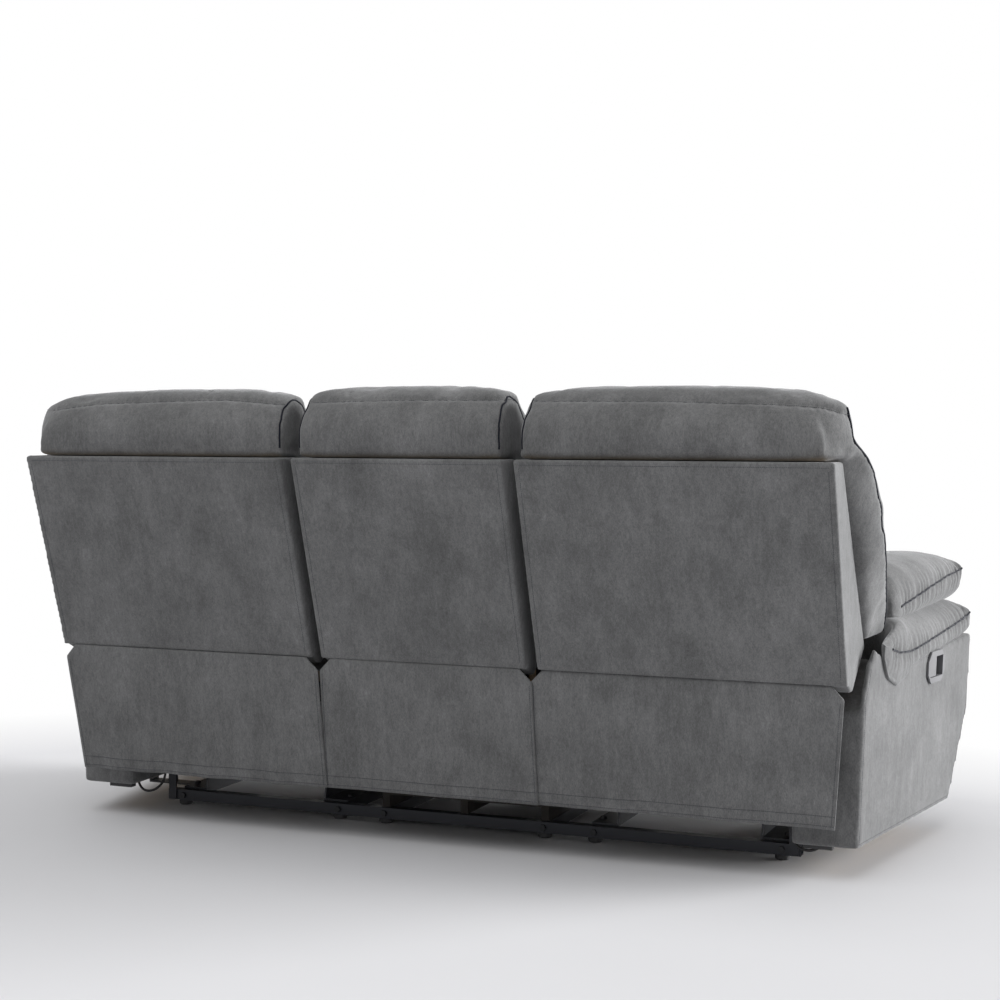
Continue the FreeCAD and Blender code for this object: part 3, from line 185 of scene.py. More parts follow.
@dataclass(frozen=True)
class Microsuede:
    """Grey napped cloth: a fine grain that lies one way, over soft cloudy patches."""

    name: str = "grey_microsuede"
    colour: Point = (0.158, 0.159, 0.160)
    grain: float = 620.0
    patches: float = 7.0
    nap_along: Point = (1.0, 1.0, 0.35)

    def build(self) -> bpy.types.Material:
        """The finished material."""
        sheet = NodeSheet(self.name)
        nap = sheet.noise(self.grain, 2, self.nap_along)
        tuft = sheet.noise(self.grain * 0.28, 3, self.nap_along)
        cloud = sheet.noise(self.patches, 5)
        brushed = sheet.noise(self.patches * 6, 3, (1.0, 1.0, 0.25))
        shade = sheet.times(sheet.between(cloud, 0.80, 1.19), sheet.between(brushed, 0.89, 1.11))
        grain = sheet.times(sheet.between(nap, 0.80, 1.20), sheet.between(tuft, 0.87, 1.13))
        sheet.tint(self.colour, sheet.times(shade, grain))
        height = sheet.add("Math", {0: nap, 1: tuft}, operation="ADD").outputs[0]
        sheet.bump(height, 0.35, 0.0007)
        sheet.set(Roughness=0.93, Sheen_Weight=0.3, Sheen_Roughness=0.42)
        sheet.set(Sheen_Tint=(0.97, 0.98, 1.0, 1.0), Specular_IOR_Level=0.15)
        return sheet.material


@dataclass(frozen=True)
class Moulded:
    """Plastic, paint or metal with a fine surface of its own."""

    name: str
    colour: Point
    roughness: float
    metallic: float = 0.0
    grain: float = 900.0
    relief: float = 0.12
    wear: float = 0.08

    def build(self) -> bpy.types.Material:
        """The finished material."""
        sheet = NodeSheet(self.name)
        fine = sheet.noise(self.grain, 2)
        broad = sheet.noise(11.0, 4)
        sheet.tint(self.colour, sheet.times(
            sheet.between(fine, 1 - self.wear, 1 + self.wear),
            sheet.between(broad, 1 - self.wear, 1 + self.wear),
        ))
        rough = sheet.between(broad, self.roughness * 0.88, min(1.0, self.roughness * 1.12))
        sheet.tree.links.new(rough, sheet.shader.inputs["Roughness"])
        sheet.bump(fine, self.relief, 0.0004)
        sheet.set(Metallic=self.metallic)
        return sheet.material


@dataclass(frozen=True)
class Timber:
    """Raw sawn boards with a grain that runs along X."""

    name: str = "timber"
    colour: Point = (0.56, 0.41, 0.25)

    def build(self) -> bpy.types.Material:
        """The finished material."""
        sheet = NodeSheet(self.name)
        rings = sheet.noise(26.0, 5, (0.12, 1.0, 1.0))
        pores = sheet.noise(420.0, 2, (0.06, 1.0, 1.0))
        sheet.tint(self.colour, sheet.times(
            sheet.between(rings, 0.72, 1.16), sheet.between(pores, 0.9, 1.07)
        ))
        sheet.bump(pores, 0.3, 0.0006)
        sheet.set(Roughness=0.78)
        return sheet.material


class Finishes:
    """Every material of the sofa, by the record's slot or by its own name."""

    def __init__(self) -> None:
        """Build them once."""
        self.by_name = {finish.name: finish.build() for finish in (
            Microsuede(),
            Microsuede("piping_cloth", (0.009, 0.010, 0.016), 900.0, 20.0),
            Moulded("thread", (0.055, 0.056, 0.066), 0.7, grain=2400.0, relief=0.3),
            Moulded("black_steel", (0.016, 0.018, 0.026), 0.42, grain=500.0, relief=0.2),
            Moulded("spring_steel", (0.42, 0.42, 0.43), 0.36, 1.0),
            Moulded("zinc_steel", (0.56, 0.56, 0.55), 0.38, 1.0, grain=260.0),
            Moulded("black_plastic", (0.02, 0.02, 0.022), 0.5, grain=1500.0),
            Moulded("grey_plastic", (0.15, 0.15, 0.16), 0.44, grain=1500.0),
            Moulded("cable_jacket", (0.014, 0.014, 0.017), 0.48, grain=1800.0),
            Moulded("blackened_steel", (0.012, 0.012, 0.015), 0.5, grain=700.0),
            # The second timber is near-black painted shade: it stands for the deep shade on the frame
            # under the centre seat.
            Timber(), Timber("stained_timber", (0.030, 0.025, 0.021)),
        )}

    def __getitem__(self, name: str) -> bpy.types.Material:
        """The material of that name."""
        return self.by_name[name]


# Meshes


def linked(name: str, mesh: bpy.types.ID) -> bpy.types.Object:
    """A new object of that name in the scene."""
    piece = bpy.data.objects.new(name, mesh)
    bpy.context.scene.collection.objects.link(piece)
    return piece


def settled(piece: bpy.types.Object) -> bpy.types.Object:
    """Turn a piece with its modifiers into a plain mesh.

    Args:
        piece: a mesh or curve object.

    Returns:
        The object that holds the result, with the same name.
    """
    graph = bpy.context.evaluated_depsgraph_get()
    graph.update()
    mesh = bpy.data.meshes.new_from_object(piece.evaluated_get(graph))
    name = piece.name
    bpy.data.objects.remove(piece)
    return linked(name, mesh)


def vertices(piece: bpy.types.Object) -> np.ndarray:
    """Vertex places, one row each."""
    flat = np.empty(len(piece.data.vertices) * 3)
    piece.data.vertices.foreach_get("co", flat)
    return flat.reshape(-1, 3)


def normals(piece: bpy.types.Object) -> np.ndarray:
    """Vertex normals, one row each."""
    flat = np.empty(len(piece.data.vertices) * 3, np.float32)
    piece.data.vertex_normals.foreach_get("vector", flat)
    return flat.reshape(-1, 3).astype(float)


def reshape(piece: bpy.types.Object, places: np.ndarray) -> None:
    """Move a piece's vertices to places."""
    piece.data.vertices.foreach_set("co", places.astype(np.float32).ravel())
    piece.data.update()


def relaxed(piece: bpy.types.Object, rounds: int, where: Optional[np.ndarray] = None) -> None:
    """Round a mesh's edges by averaging each vertex with its neighbours.

    Args:
        piece: the mesh object.
        rounds: how often it is averaged.
        where: for each vertex if it moves. All of them do without it.
    """
    ends = np.empty(len(piece.data.edges) * 2, np.int32)
    piece.data.edges.foreach_get("vertices", ends)
    a, b = ends.reshape(-1, 2).T
    places = vertices(piece)
    count = np.bincount(a, minlength=len(places)) + np.bincount(b, minlength=len(places))
    for _ in range(rounds):
        total = np.zeros_like(places)
        np.add.at(total, a, places[b])
        np.add.at(total, b, places[a])
        even = 0.5 * places + 0.5 * total / count[:, None]
        places = even if where is None else np.where(where[:, None], even, places)
    reshape(piece, places)


def from_solid(nodes: Sequence[str], name: str, voxel: float, rounds: int,
               plate: Sequence[Sequence[Point]] = ()) -> bpy.types.Object:
    """An even skin over copies of solids, with its edges rounded.

    Args:
        nodes: the solids' nodes.
        name: name of the new piece.
        voxel: size of its faces in metres.
        rounds: how much its edges are rounded.
        plate: outer and inner outline of a plate that the skin takes in too.

    Returns:
        The new piece.
    """
    shape = bmesh.new()
    for node in nodes:
        shape.from_mesh(frame["nodes"][node].data)
    if plate:
        rings = [[shape.verts.new(point) for point in ring] for ring in plate]
        added = [shape.faces.new(rings[0]), shape.faces.new(rings[1][::-1])]
        for k in range(len(rings[0])):
            added.append(shape.faces.new(
                (rings[0][k - 1], rings[1][k - 1], rings[1][k], rings[0][k])))
        bmesh.ops.recalc_face_normals(shape, faces=added)
    bmesh.ops.remove_doubles(shape, verts=shape.verts, dist=1e-5)
    mesh = bpy.data.meshes.new(name)
    shape.to_mesh(mesh)
    shape.free()
    piece = linked(name, mesh)
    skin = piece.modifiers.new("skin", "REMESH")
    skin.mode, skin.voxel_size = "VOXEL", voxel
    piece = settled(piece)
    piece.name = name
    relaxed(piece, rounds)
    return piece


def filled(piece: bpy.types.Object, pinned: Callable[[np.ndarray, np.ndarray], np.ndarray],
           pressure: float, most: float) -> None:
    """Fill a skin with padding: the cloth swells, but no point moves further than most.

    Args:
        piece: the skin.
        pinned: given places and normals, tells which vertices are held by what carries them.
        pressure: of the filling.
        most: the furthest that a vertex may move, in metres.
    """
    start = vertices(piece)
    held = pinned(start, normals(piece))
    inset = start - normals(piece) * (START_INSET * most) * (~held)[:, None]
    reshape(piece, inset)
    group = piece.vertex_groups.new(name="held")
    group.add([int(i) for i in np.nonzero(held)[0]], 1.0, "REPLACE")
    cloth = piece.modifiers.new("cloth", "CLOTH")
    cloth.settings.quality = 4
    cloth.settings.mass = 0.3
    cloth.settings.use_pressure = True
    cloth.settings.uniform_pressure_force = pressure
    cloth.settings.vertex_group_mass = "held"
    cloth.settings.effector_weights.gravity = 0
    cloth.settings.tension_stiffness = cloth.settings.compression_stiffness = 25
    cloth.point_cache.frame_start, cloth.point_cache.frame_end = 1, CLOTH_FRAMES
    scene = bpy.context.scene
    for number in range(1, CLOTH_FRAMES + 1):
        scene.frame_set(number)
    graph = bpy.context.evaluated_depsgraph_get()
    swollen = piece.evaluated_get(graph).to_mesh()
    flat = np.empty(len(swollen.vertices) * 3)
    swollen.vertices.foreach_get("co", flat)
    piece.evaluated_get(graph).to_mesh_clear()
    piece.modifiers.remove(cloth)
    piece.vertex_groups.clear()
    scene.frame_set(1)
    moved = flat.reshape(-1, 3) - inset
    length = np.linalg.norm(moved, axis=1, keepdims=True)
    moved *= np.minimum(1.0, most / np.maximum(length, 1e-9))
    reshape(piece, np.nan_to_num(inset + moved))
    relaxed(piece, 1)


def finer(piece: bpy.types.Object) -> bpy.types.Object:
    """One subdivision, made real."""
    name = piece.name
    detail = piece.modifiers.new("finer", "SUBSURF")
    detail.levels = detail.render_levels = 1
    piece = settled(piece)
    piece.name = name
    return piece


def smooth(piece: bpy.types.Object) -> None:
    """Shade every face smooth."""
    piece.data.polygons.foreach_set("use_smooth", [True] * len(piece.data.polygons))


def dressed(piece: bpy.types.Object, material: bpy.types.Material) -> None:
    """Give a piece its material."""
    piece.data.materials.clear()
    piece.data.materials.append(material)


# Seams


@dataclass
class Seam:
    """A line on a piece: it is drawn in, piped or stitched."""

    points: list[Vector]

    @classmethod
    def seen(cls, piece: bpy.types.Object, camera: bpy.types.Object,
             pixels: Sequence[Pixel]) -> "Seam":
        """A line laid on a piece as it is seen from the camera.

        Args:
            piece: what carries the line.
            camera: the scene's camera.
            pixels: corners of the line in a square picture, PICTURE pixels wide.

        Returns:
            The seam, empty where the line misses the piece.
        """
        skin = BVHTree.FromObject(piece, bpy.context.evaluated_depsgraph_get())
        turn = camera.matrix_world.to_3x3()
        eye = camera.matrix_world.translation
        reach = camera.data.lens / camera.data.sensor_width * PICTURE
        found = []
        for (x0, y0), (x1, y1) in zip(pixels, pixels[1:]):
            steps = max(2, int(math.hypot(x1 - x0, y1 - y0) / 2))
            for step in range(steps + 1):
                x, y = x0 + (x1 - x0) * step / steps, y0 + (y1 - y0) * step / steps
                ray = turn @ Vector((x - PICTURE / 2, PICTURE / 2 - y, -reach)).normalized()
                hit = skin.ray_cast(eye, ray)[0]
                if hit is not None and (not found or (hit - found[-1]).length > 0.002):
                    found.append(hit)
        return cls(found)

    @classmethod
    def along(cls, piece: bpy.types.Object, corners: Sequence[Point]) -> "Seam":
        """A line through corners, laid on the nearest surface of a piece.

        Args:
            piece: what carries the line.
            corners: its corners in the row frame.

        Returns:
            The seam.
        """
        skin = BVHTree.FromObject(piece, bpy.context.evaluated_depsgraph_get())
        found = []
        for a, b in zip(corners, corners[1:]):
            a, b = Vector(a), Vector(b)
            steps = max(2, int((b - a).length / 0.005))
            for step in range(steps):
                found.append(skin.find_nearest(a.lerp(b, step / steps))[0])
        return cls(found)

    def on(self, piece: bpy.types.Object) -> "Seam":
        """The same line, laid on another piece's nearest surface."""
        skin = BVHTree.FromObject(piece, bpy.context.evaluated_depsgraph_get())
        return Seam([skin.find_nearest(p)[0] for p in self.points])

    def even(self) -> list[Vector]:
        """The line's points after one pass of averaging."""
        p = self.points
        return p[:1] + [(a + 2 * b + c) / 4 for a, b, c in zip(p, p[1:], p[2:])] + p[-1:]

    def press(self, piece: bpy.types.Object, depth: float, width: float,
              gathers: float = 0.0, spacing: float = 0.006) -> None:
        """Draw a piece in along the line, with gathers across it if it has them.

        Args:
            piece: the mesh to draw in.
            depth: in metres, or below 0 to raise a fold.
            width: reach to each side in metres.
            gathers: depth of the small pleats beside the line.
            spacing: their distance.
        """
        if len(self.points) < 2:
            return
        tree = KDTree(len(self.points))
        run, total = [], 0.0
        for number, point in enumerate(self.points):
            total += (point - self.points[number - 1]).length if number else 0.0
            run.append(total)
            tree.insert(point, number)
        tree.balance()
        places, outward = vertices(piece), normals(piece)
        reach = 3.0 * width
        spread = np.array(self.points)
        low, high = spread.min(0) - reach, spread.max(0) + reach
        for index in np.nonzero(((places > low) & (places < high)).all(1))[0]:
            _, nearest, away = tree.find(places[index])
            if away > reach:
                continue
            end = min(1.0, run[nearest] / SEAM_END + 0.2, (total - run[nearest]) / SEAM_END + 0.2)
            fall = math.exp(-(away / width) ** 2) * depth
            uneven = 2.1 * math.sin(run[nearest] * 61)
            wave = math.sin(run[nearest] * 2 * math.pi / spacing + uneven)
            fall += gathers * wave * math.exp(-(away / (1.6 * width)) ** 2)
            places[index] -= outward[index] * fall * end
        reshape(piece, places)

    def line(self, name: str, lift: float = 0.0) -> bpy.types.Object:
        """The line as a curve object."""
        curve = bpy.data.curves.new(name, "CURVE")
        curve.dimensions = "3D"
        spline = curve.splines.new("POLY")
        points = self.even()
        spline.points.add(len(points) - 1)
        for target, point in zip(spline.points, points):
            target.co = (point.x, point.y, point.z + lift, 1)
        return linked(name, curve)

    def piping(self, name: str, radius: float) -> Optional[bpy.types.Object]:
        """A covered cord sewn in along the line.

        Args:
            name: of the new piece.
            radius: of the cord in metres.

        Returns:
            The piece, or None for an empty line.
        """
        if len(self.points) < 3:
            return None
        piece = self.line(name)
        piece.data.bevel_depth, piece.data.bevel_resolution = radius, 2
        piece.data.use_fill_caps = True
        piece = settled(piece)
        piece.name = name
        smooth(piece)
        return piece


class StitchTree:
    """Geometry Nodes that lay stitches along a curve."""

    pitch = 0.0042
    share = 0.72
    thickness = 0.00055
    sides = 6

    def __init__(self, thread: bpy.types.Material) -> None:
        """Build the tree once for a thread."""
        self.tree = bpy.data.node_groups.new("stitches", "GeometryNodeTree")
        face = self.tree.interface
        face.new_socket("Geometry", in_out="INPUT", socket_type="NodeSocketGeometry")
        self.inputs = {
            name: face.new_socket(name, in_out="INPUT", socket_type="NodeSocketFloat").identifier
            for name in ("Pitch", "Stitch", "Thickness")
        }
        face.new_socket("Geometry", in_out="OUTPUT", socket_type="NodeSocketGeometry")
        add, link = self.tree.nodes.new, self.tree.links.new
        start, end = add("NodeGroupInput"), add("NodeGroupOutput")
        spots = add("GeometryNodeCurveToPoints")
        spots.mode = "LENGTH"
        link(start.outputs["Geometry"], spots.inputs["Curve"])
        link(start.outputs["Pitch"], spots.inputs["Length"])
        strand = add("GeometryNodeMeshCylinder")
        strand.inputs["Vertices"].default_value = self.sides
        link(start.outputs["Thickness"], strand.inputs["Radius"])
        link(start.outputs["Stitch"], strand.inputs["Depth"])
        lay = add("GeometryNodeInstanceOnPoints")
        link(spots.outputs["Points"], lay.inputs["Points"])
        link(strand.outputs["Mesh"], lay.inputs["Instance"])
        link(spots.outputs["Rotation"], lay.inputs["Rotation"])
        real, paint = add("GeometryNodeRealizeInstances"), add("GeometryNodeSetMaterial")
        paint.inputs["Material"].default_value = thread
        link(lay.outputs["Instances"], real.inputs["Geometry"])
        link(real.outputs["Geometry"], paint.inputs["Geometry"])
        link(paint.outputs["Geometry"], end.inputs["Geometry"])

    def sew(self, seam: Seam, name: str) -> Optional[bpy.types.Object]:
        """Stitch along a seam.

        Args:
            seam: where the stitches lie.
            name: of the new piece.

        Returns:
            The stitches as one plain mesh, or None for an empty seam.
        """
        if len(seam.points) < 3:
            return None
        piece = seam.line(name)
        modifier = piece.modifiers.new("stitches", "NODES")
        modifier.node_group = self.tree
        for key, value in (("Pitch", self.pitch), ("Stitch", self.share * self.pitch),
                           ("Thickness", self.thickness)):
            modifier[self.inputs[key]] = value
        piece = settled(piece)
        piece.name = name
        return piece


# Studio


@dataclass
class Studio:
    """Pale floor, soft light and the photograph's camera."""

    place: Point = (-1.6255, 3.851, 0.93)
    tilt: float = 87.515
    heading: float = 202.26
    lens: float = 65.1
    key: float = 6.4
    key_from: Point = (-0.84, -0.50, 0.16)
    key_angle: float = 40.0
    top: float = 1.6
    top_from: Point = (0.2, 0.25, 0.9)
    top_angle: float = 70.0
    fill: float = 0.31
    floor_tone: float = 0.69
    floor_half: float = 30.0
    floor_middle: Point = (0.0, 1.3, 0.0)
    fade: tuple[float, float] = (2.2, 2.9)

    def build(self) -> bpy.types.Object:
        """Set up camera, lamps, world and floor.

        Returns:
            The camera.
        """
        scene = bpy.context.scene
        scene.view_settings.view_transform = "Standard"
        data = bpy.data.cameras.new("camera")
        data.lens, data.sensor_width = self.lens, 36.0
        camera = linked("camera", data)
        camera.location = self.place
        camera.rotation_euler = Euler((math.radians(self.tilt), 0, math.radians(self.heading)))
        scene.camera = camera
        for name, energy, towards, size in (
            ("key", self.key, self.key_from, self.key_angle),
            ("top", self.top, self.top_from, self.top_angle),
        ):
            lamp = bpy.data.lights.new(name, "SUN")
            lamp.energy, lamp.angle = energy, math.radians(size)
            sun = linked(name, lamp)
            sun.rotation_euler = Vector(towards).to_track_quat("Z", "Y").to_euler()
        self.world(scene)
        self.floor()
        bpy.context.view_layer.update()
        return camera

    def world(self, scene: bpy.types.Scene) -> None:
        """A white surround for what is seen, and a soft fill for what is lit."""
        world = bpy.data.worlds.new("surround")
        scene.world = world
        world.use_nodes = True
        tree = world.node_tree
        back = tree.nodes["Background"]
        back.inputs["Color"].default_value = (1, 1, 1, 1)
        strength = self.seen_directly(tree, self.fill, 1.0)
        tree.links.new(strength, back.inputs["Strength"])

    @staticmethod
    def seen_directly(tree: bpy.types.NodeTree, lit: float, seen: float) -> bpy.types.NodeSocket:
        """One value for light, another for what the eye, a gloss or a glass sees.

        Args:
            tree: the node tree to write in.
            lit: value for lighting rays.
            seen: value for the rest.

        Returns:
            The chosen value.
        """
        path = tree.nodes.new("ShaderNodeLightPath")
        largest = path.outputs["Is Camera Ray"]
        for other in ("Is Glossy Ray", "Is Transmission Ray"):
            node = tree.nodes.new("ShaderNodeMath")
            node.operation = "MAXIMUM"
            tree.links.new(largest, node.inputs[0])
            tree.links.new(path.outputs[other], node.inputs[1])
            largest = node.outputs[0]
        pick = tree.nodes.new("ShaderNodeMapRange")
        tree.links.new(largest, pick.inputs[0])
        pick.inputs[3].default_value, pick.inputs[4].default_value = lit, seen
        return pick.outputs[0]

    def floor(self) -> None:
        """A pale floor that turns white away from the sofa."""
        mesh = bpy.data.meshes.new("floor")
        half = self.floor_half
        mesh.from_pydata(
            [(-half, -half, 0), (half, -half, 0), (half, half, 0), (-half, half, 0)], [],
            [(0, 1, 2, 3)],
        )
        piece = linked("floor", mesh)
        sheet = NodeSheet("floor")
        tone = self.floor_tone
        sheet.tint((tone, tone, tone * 1.025), sheet.between(sheet.noise(3.0, 2), 0.995, 1.005))
        sheet.set(Roughness=0.7, Specular_IOR_Level=0.1)
        away = sheet.add("VectorMath", {0: sheet.place, 1: self.floor_middle}, operation="DISTANCE")
        near, far = self.fade
        fade = sheet.add("MapRange", {0: away.outputs["Value"], 1: near, 2: far})
        seen = self.seen_directly(sheet.tree, 0.0, 1.0)
        white = sheet.add("Emission", {"Color": (1, 1, 1, 1), "Strength": 1.0})
        mix = sheet.add("MixShader", {
            0: sheet.times(fade.outputs[0], seen), 1: sheet.shader.outputs[0], 2: white.outputs[0],
        })
        out = sheet.tree.nodes["Material Output"]
        sheet.tree.links.new(mix.outputs[0], out.inputs["Surface"])
        piece.data.materials.append(sheet.material)
        piece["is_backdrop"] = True


# The sofa


@dataclass
class Workshop:
    """What every sub-assembly needs to be made."""

    finishes: Finishes
    stitches: StitchTree
    camera: bpy.types.Object

    def carry(self, piece: Optional[bpy.types.Object], body: str, finish: str) -> None:
        """Dress a piece and let it ride on a body.

        Args:
            piece: the piece, or None where there was nothing to make.
            body: the body that carries it.
            finish: its material.
        """
        if piece is None:
            return
        dressed(piece, self.finishes[finish])
        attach(piece, body)
        LOG.info("%s on %s: %d faces", piece.name, body, len(piece.data.polygons))

    def stitch(self, seam: Seam, name: str, body: str) -> None:
        """Stitch a seam and let it ride on a body."""
        self.carry(self.stitches.sew(seam, name), body, "thread")

    def pipe(self, seam: Seam, name: str, body: str, radius: float) -> None:
        """Pipe a seam and let it ride on a body."""
        self.carry(seam.piping(name, radius), body, "piping_cloth")


@dataclass
class ReleaseCable:
    """The jacketed cable from a handle down through the arm to its clip at the rail."""

    side: Side
    diameter: float = 0.006
    length: float = 0.652
    route: tuple[Point, ...] = (
        (0.97471, -0.18586, 0.39342), (0.93922, -0.19171, 0.39484), (0.914, -0.164, 0.366),
        (0.896, -0.116, 0.322), (0.884, -0.062, 0.276), (0.873, -0.008, 0.228),
        (0.864, 0.046, 0.178), (0.857, 0.094, 0.126), (0.852, 0.126, 0.088),
        (0.843, 0.146, 0.056), (0.816, 0.160, 0.036), (0.782, 0.157, 0.042),
        (0.766, 0.140, 0.069), (0.766, 0.140, 0.101),
    )

    def build(self, shop: Workshop) -> None:
        name = f"{self.side.word}_cable"
        curve = bpy.data.curves.new(name, "CURVE")
        curve.dimensions = "3D"
        curve.bevel_depth, curve.bevel_resolution = self.diameter / 2, 3
        curve.use_fill_caps = True
        spline = curve.splines.new("NURBS")
        spline.points.add(len(self.route) - 1)
        for target, (x, y, z) in zip(spline.points, self.route):
            target.co = (self.side.value * x, y, z, 1)
        spline.order_u = 3
        spline.use_endpoint_u = True
        spline.resolution_u = 10
        piece = linked(name, curve)
        piece.data.materials.append(shop.finishes["cable_jacket"])
        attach(piece, "base")
        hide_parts(f"{self.side.word}_release_cable")
        x, y, z = self.route[0]
        LOG.info("%s", name)


@dataclass
class Padded:
    """A stuffed piece made over its solid."""

    node: str
    body: str
    fill: float = 0.6
    voxel: float = 0.009
    rounds: int = 5
    pressure: float = 4.0
    most: float = 0.012
    others: tuple[str, ...] = ()

    def held(self, places: np.ndarray, outward: np.ndarray) -> np.ndarray:
        """Vertices held by what carries the piece: its underside."""
        return outward[:, 2] < -0.55

    def shape(self, name: str) -> bpy.types.Object:
        """The swollen skin."""
        piece = from_solid((self.node, *self.others), name, self.voxel, self.rounds)
        self.warp(piece)
        filled(piece, self.held, self.pressure, self.most)
        piece = finer(piece)
        smooth(piece)
        return piece

    def build(self, shop: Workshop) -> bpy.types.Object:
        """Args:
            shop: materials and stitches.

        Returns:
            The piece.
        """
        piece = self.shape(self.node + "_cover")
        self.sewn(piece, shop)
        shop.carry(piece, self.body, "grey_microsuede")
        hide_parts(self.node, *self.others)
        return piece

    def warp(self, piece: bpy.types.Object) -> None:
        """Change the skin before it is filled. A plain pad keeps its solid's form."""

    def sewn(self, piece: bpy.types.Object, shop: Workshop) -> None:
        """Seams of the piece. A plain pad has none."""


@dataclass
class BackPillow(Padded):
    """Head roll and lower cushion of a back under one cover, with a wing at its outer end."""

    seam: tuple[Pixel, ...] = ()
    pulls: tuple[tuple[Pixel, ...], ...] = ()
    piped_ends: tuple[float, ...] = ()
    wing: int = 0
    inner: float = 0.80
    divider: tuple[float, float] = (0.114, 0.772)
    neck_top: float = 0.49
    crease: float = 0.772
    roll_end: tuple[tuple[float, float], ...] = (
        (0.30, 0.93), (0.34, 0.965), (0.39, 0.985), (0.43, 0.975), (0.452, 0.93),
        (0.455, 0.895), (0.452, 0.866),
    )
    heights: tuple[float, ...] = (0.49, 0.55, 0.66, 0.727, 0.82, 0.87, 0.90, 0.97, 1.01)
    reach: tuple[float, ...] = (0.948, 0.961, 0.976, 0.980, 0.979, 0.964, 0.951, 0.935, 0.915)
    edge: tuple[float, ...] = (0.06, 0.10, 0.20, 0.25, 0.29, 0.35, 0.37, 0.38, 0.39)

    def held(self, places: np.ndarray, outward: np.ndarray) -> np.ndarray:
        """Held by the board behind it, the shell's top edge, and all down its neck."""
        board = (places[:, 2] < 0.868) & ((outward[:, 1] > 0.25) | (outward[:, 2] < -0.5))
        return board | (places[:, 2] < self.neck_top)

    def warp(self, piece: bpy.types.Object) -> None:
        """Draw the outer end out into a wing that turns in again in front of its piping."""
        if not self.wing:
            return
        places = vertices(piece)
        x, y, z = places[:, 0] * self.wing, places[:, 1], places[:, 2]
        tip = np.interp(z, self.heights, self.reach)
        pipe = np.interp(z, self.heights, self.edge)
        board = np.minimum(0.470 - (0.854 - z) * 0.3134 - 0.082, 0.44)
        board = np.where(z > 0.86, 0.44, np.maximum(board, pipe + 0.03))
        behind = np.clip((board - y) / (board - pipe), 0, 1)
        rear = 0.903 + (tip - 0.903) * behind ** 0.8
        ahead = tip - 0.28 * (pipe - y)
        end = np.where(y > pipe, rear, ahead)
        solid_end = np.interp(z, (0.745, 0.795), (0.942, 0.92))
        share = np.clip((x - self.inner) / (solid_end - self.inner), 0, None)
        above = np.clip((z - 0.478) / 0.02, 0, 1)
        moved = np.where(share > 0, self.inner + share * (end - self.inner), x)
        places[:, 0] = self.wing * (x + (moved - x) * above)
        reshape(piece, places)
        relaxed(piece, 14, (x > 0.84) & (abs(z - self.crease) < 0.06))

    def sewn(self, piece: bpy.types.Object, shop: Workshop) -> None:
        """Draw in the seams and pulls, stitch them and pipe the ends."""
        low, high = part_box(self.node)
        seam = Seam.seen(piece, shop.camera, self.seam)
        seam.press(piece, 0.0034, 0.007, gathers=0.0008, spacing=0.019)
        for number, pixels in enumerate(self.pulls):
            pull = Seam.seen(piece, shop.camera, pixels)
            pull.press(piece, 0.0034, 0.0055 + 0.001 * (number % 3))
        y, z = self.divider
        across = Seam.along(piece, [(low.x + 0.03, y, z), (high.x - 0.03, y, z)])
        across.press(piece, 0.010, 0.012, gathers=0.001, spacing=0.016)
        shop.stitch(across.on(piece), self.node + "_divider", self.body)
        shop.stitch(seam.on(piece), self.node + "_topstitch", self.body)
        for number, x in enumerate(self.piped_ends):
            end = Seam.along(piece, [(x, y, z) for y, z in self.roll_end])
            end.press(piece, 0.002, 0.005)
            shop.pipe(end.on(piece), f"{self.node}_end_piping_{number}", self.body, 0.0022)
        if self.wing:
            end = Seam.along(piece, [
                (self.wing * x, y, z) for x, y, z in zip(self.reach, self.edge, self.heights)
            ][:-1])
            end.press(piece, 0.002, 0.006, gathers=0.0006, spacing=0.008)
            shop.pipe(end.on(piece), self.node + "_wing_piping", self.body, 0.0027)


@dataclass
class SeatCushion(Padded):
    """Seat cushion with two topstitched lines across its width: one behind its nose and one on its
    front.
    """

    def sewn(self, piece: bpy.types.Object, shop: Workshop) -> None:
        """Two seams across the nose."""
        low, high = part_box(self.node)
        for number, (y, z) in enumerate(((-0.385, 0.50), (-0.43, 0.40))):
            seam = Seam.along(piece, [(low.x + 0.03, y, z), (high.x - 0.03, y, z)])
            seam.press(piece, 0.003, 0.008, gathers=0.0008, spacing=0.014)
            shop.stitch(seam.on(piece), f"{self.node}_stitch_{number}", self.body)


@dataclass
class FootPad(Padded):
    """Padded front of a footrest or of the fixed middle panel."""

    voxel: float = 0.008
    most: float = 0.006

    def held(self, places: np.ndarray, outward: np.ndarray) -> np.ndarray:
        """Held by the board behind it."""
        return outward[:, 1] > 0.4

    def sewn(self, piece: bpy.types.Object, shop: Workshop) -> None:
        """A stitched line inside its edge."""
        low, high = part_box(self.node)
        a, b, c, d = low.x + 0.022, high.x - 0.022, low.z + 0.022, high.z - 0.022
        y = low.y
        seam = Seam.along(piece, [(a, y, c), (b, y, c), (b, y, d), (a, y, d), (a, y, c)])
        seam.press(piece, 0.002, 0.006)
        shop.stitch(seam.on(piece), self.node + "_stitch", self.body)


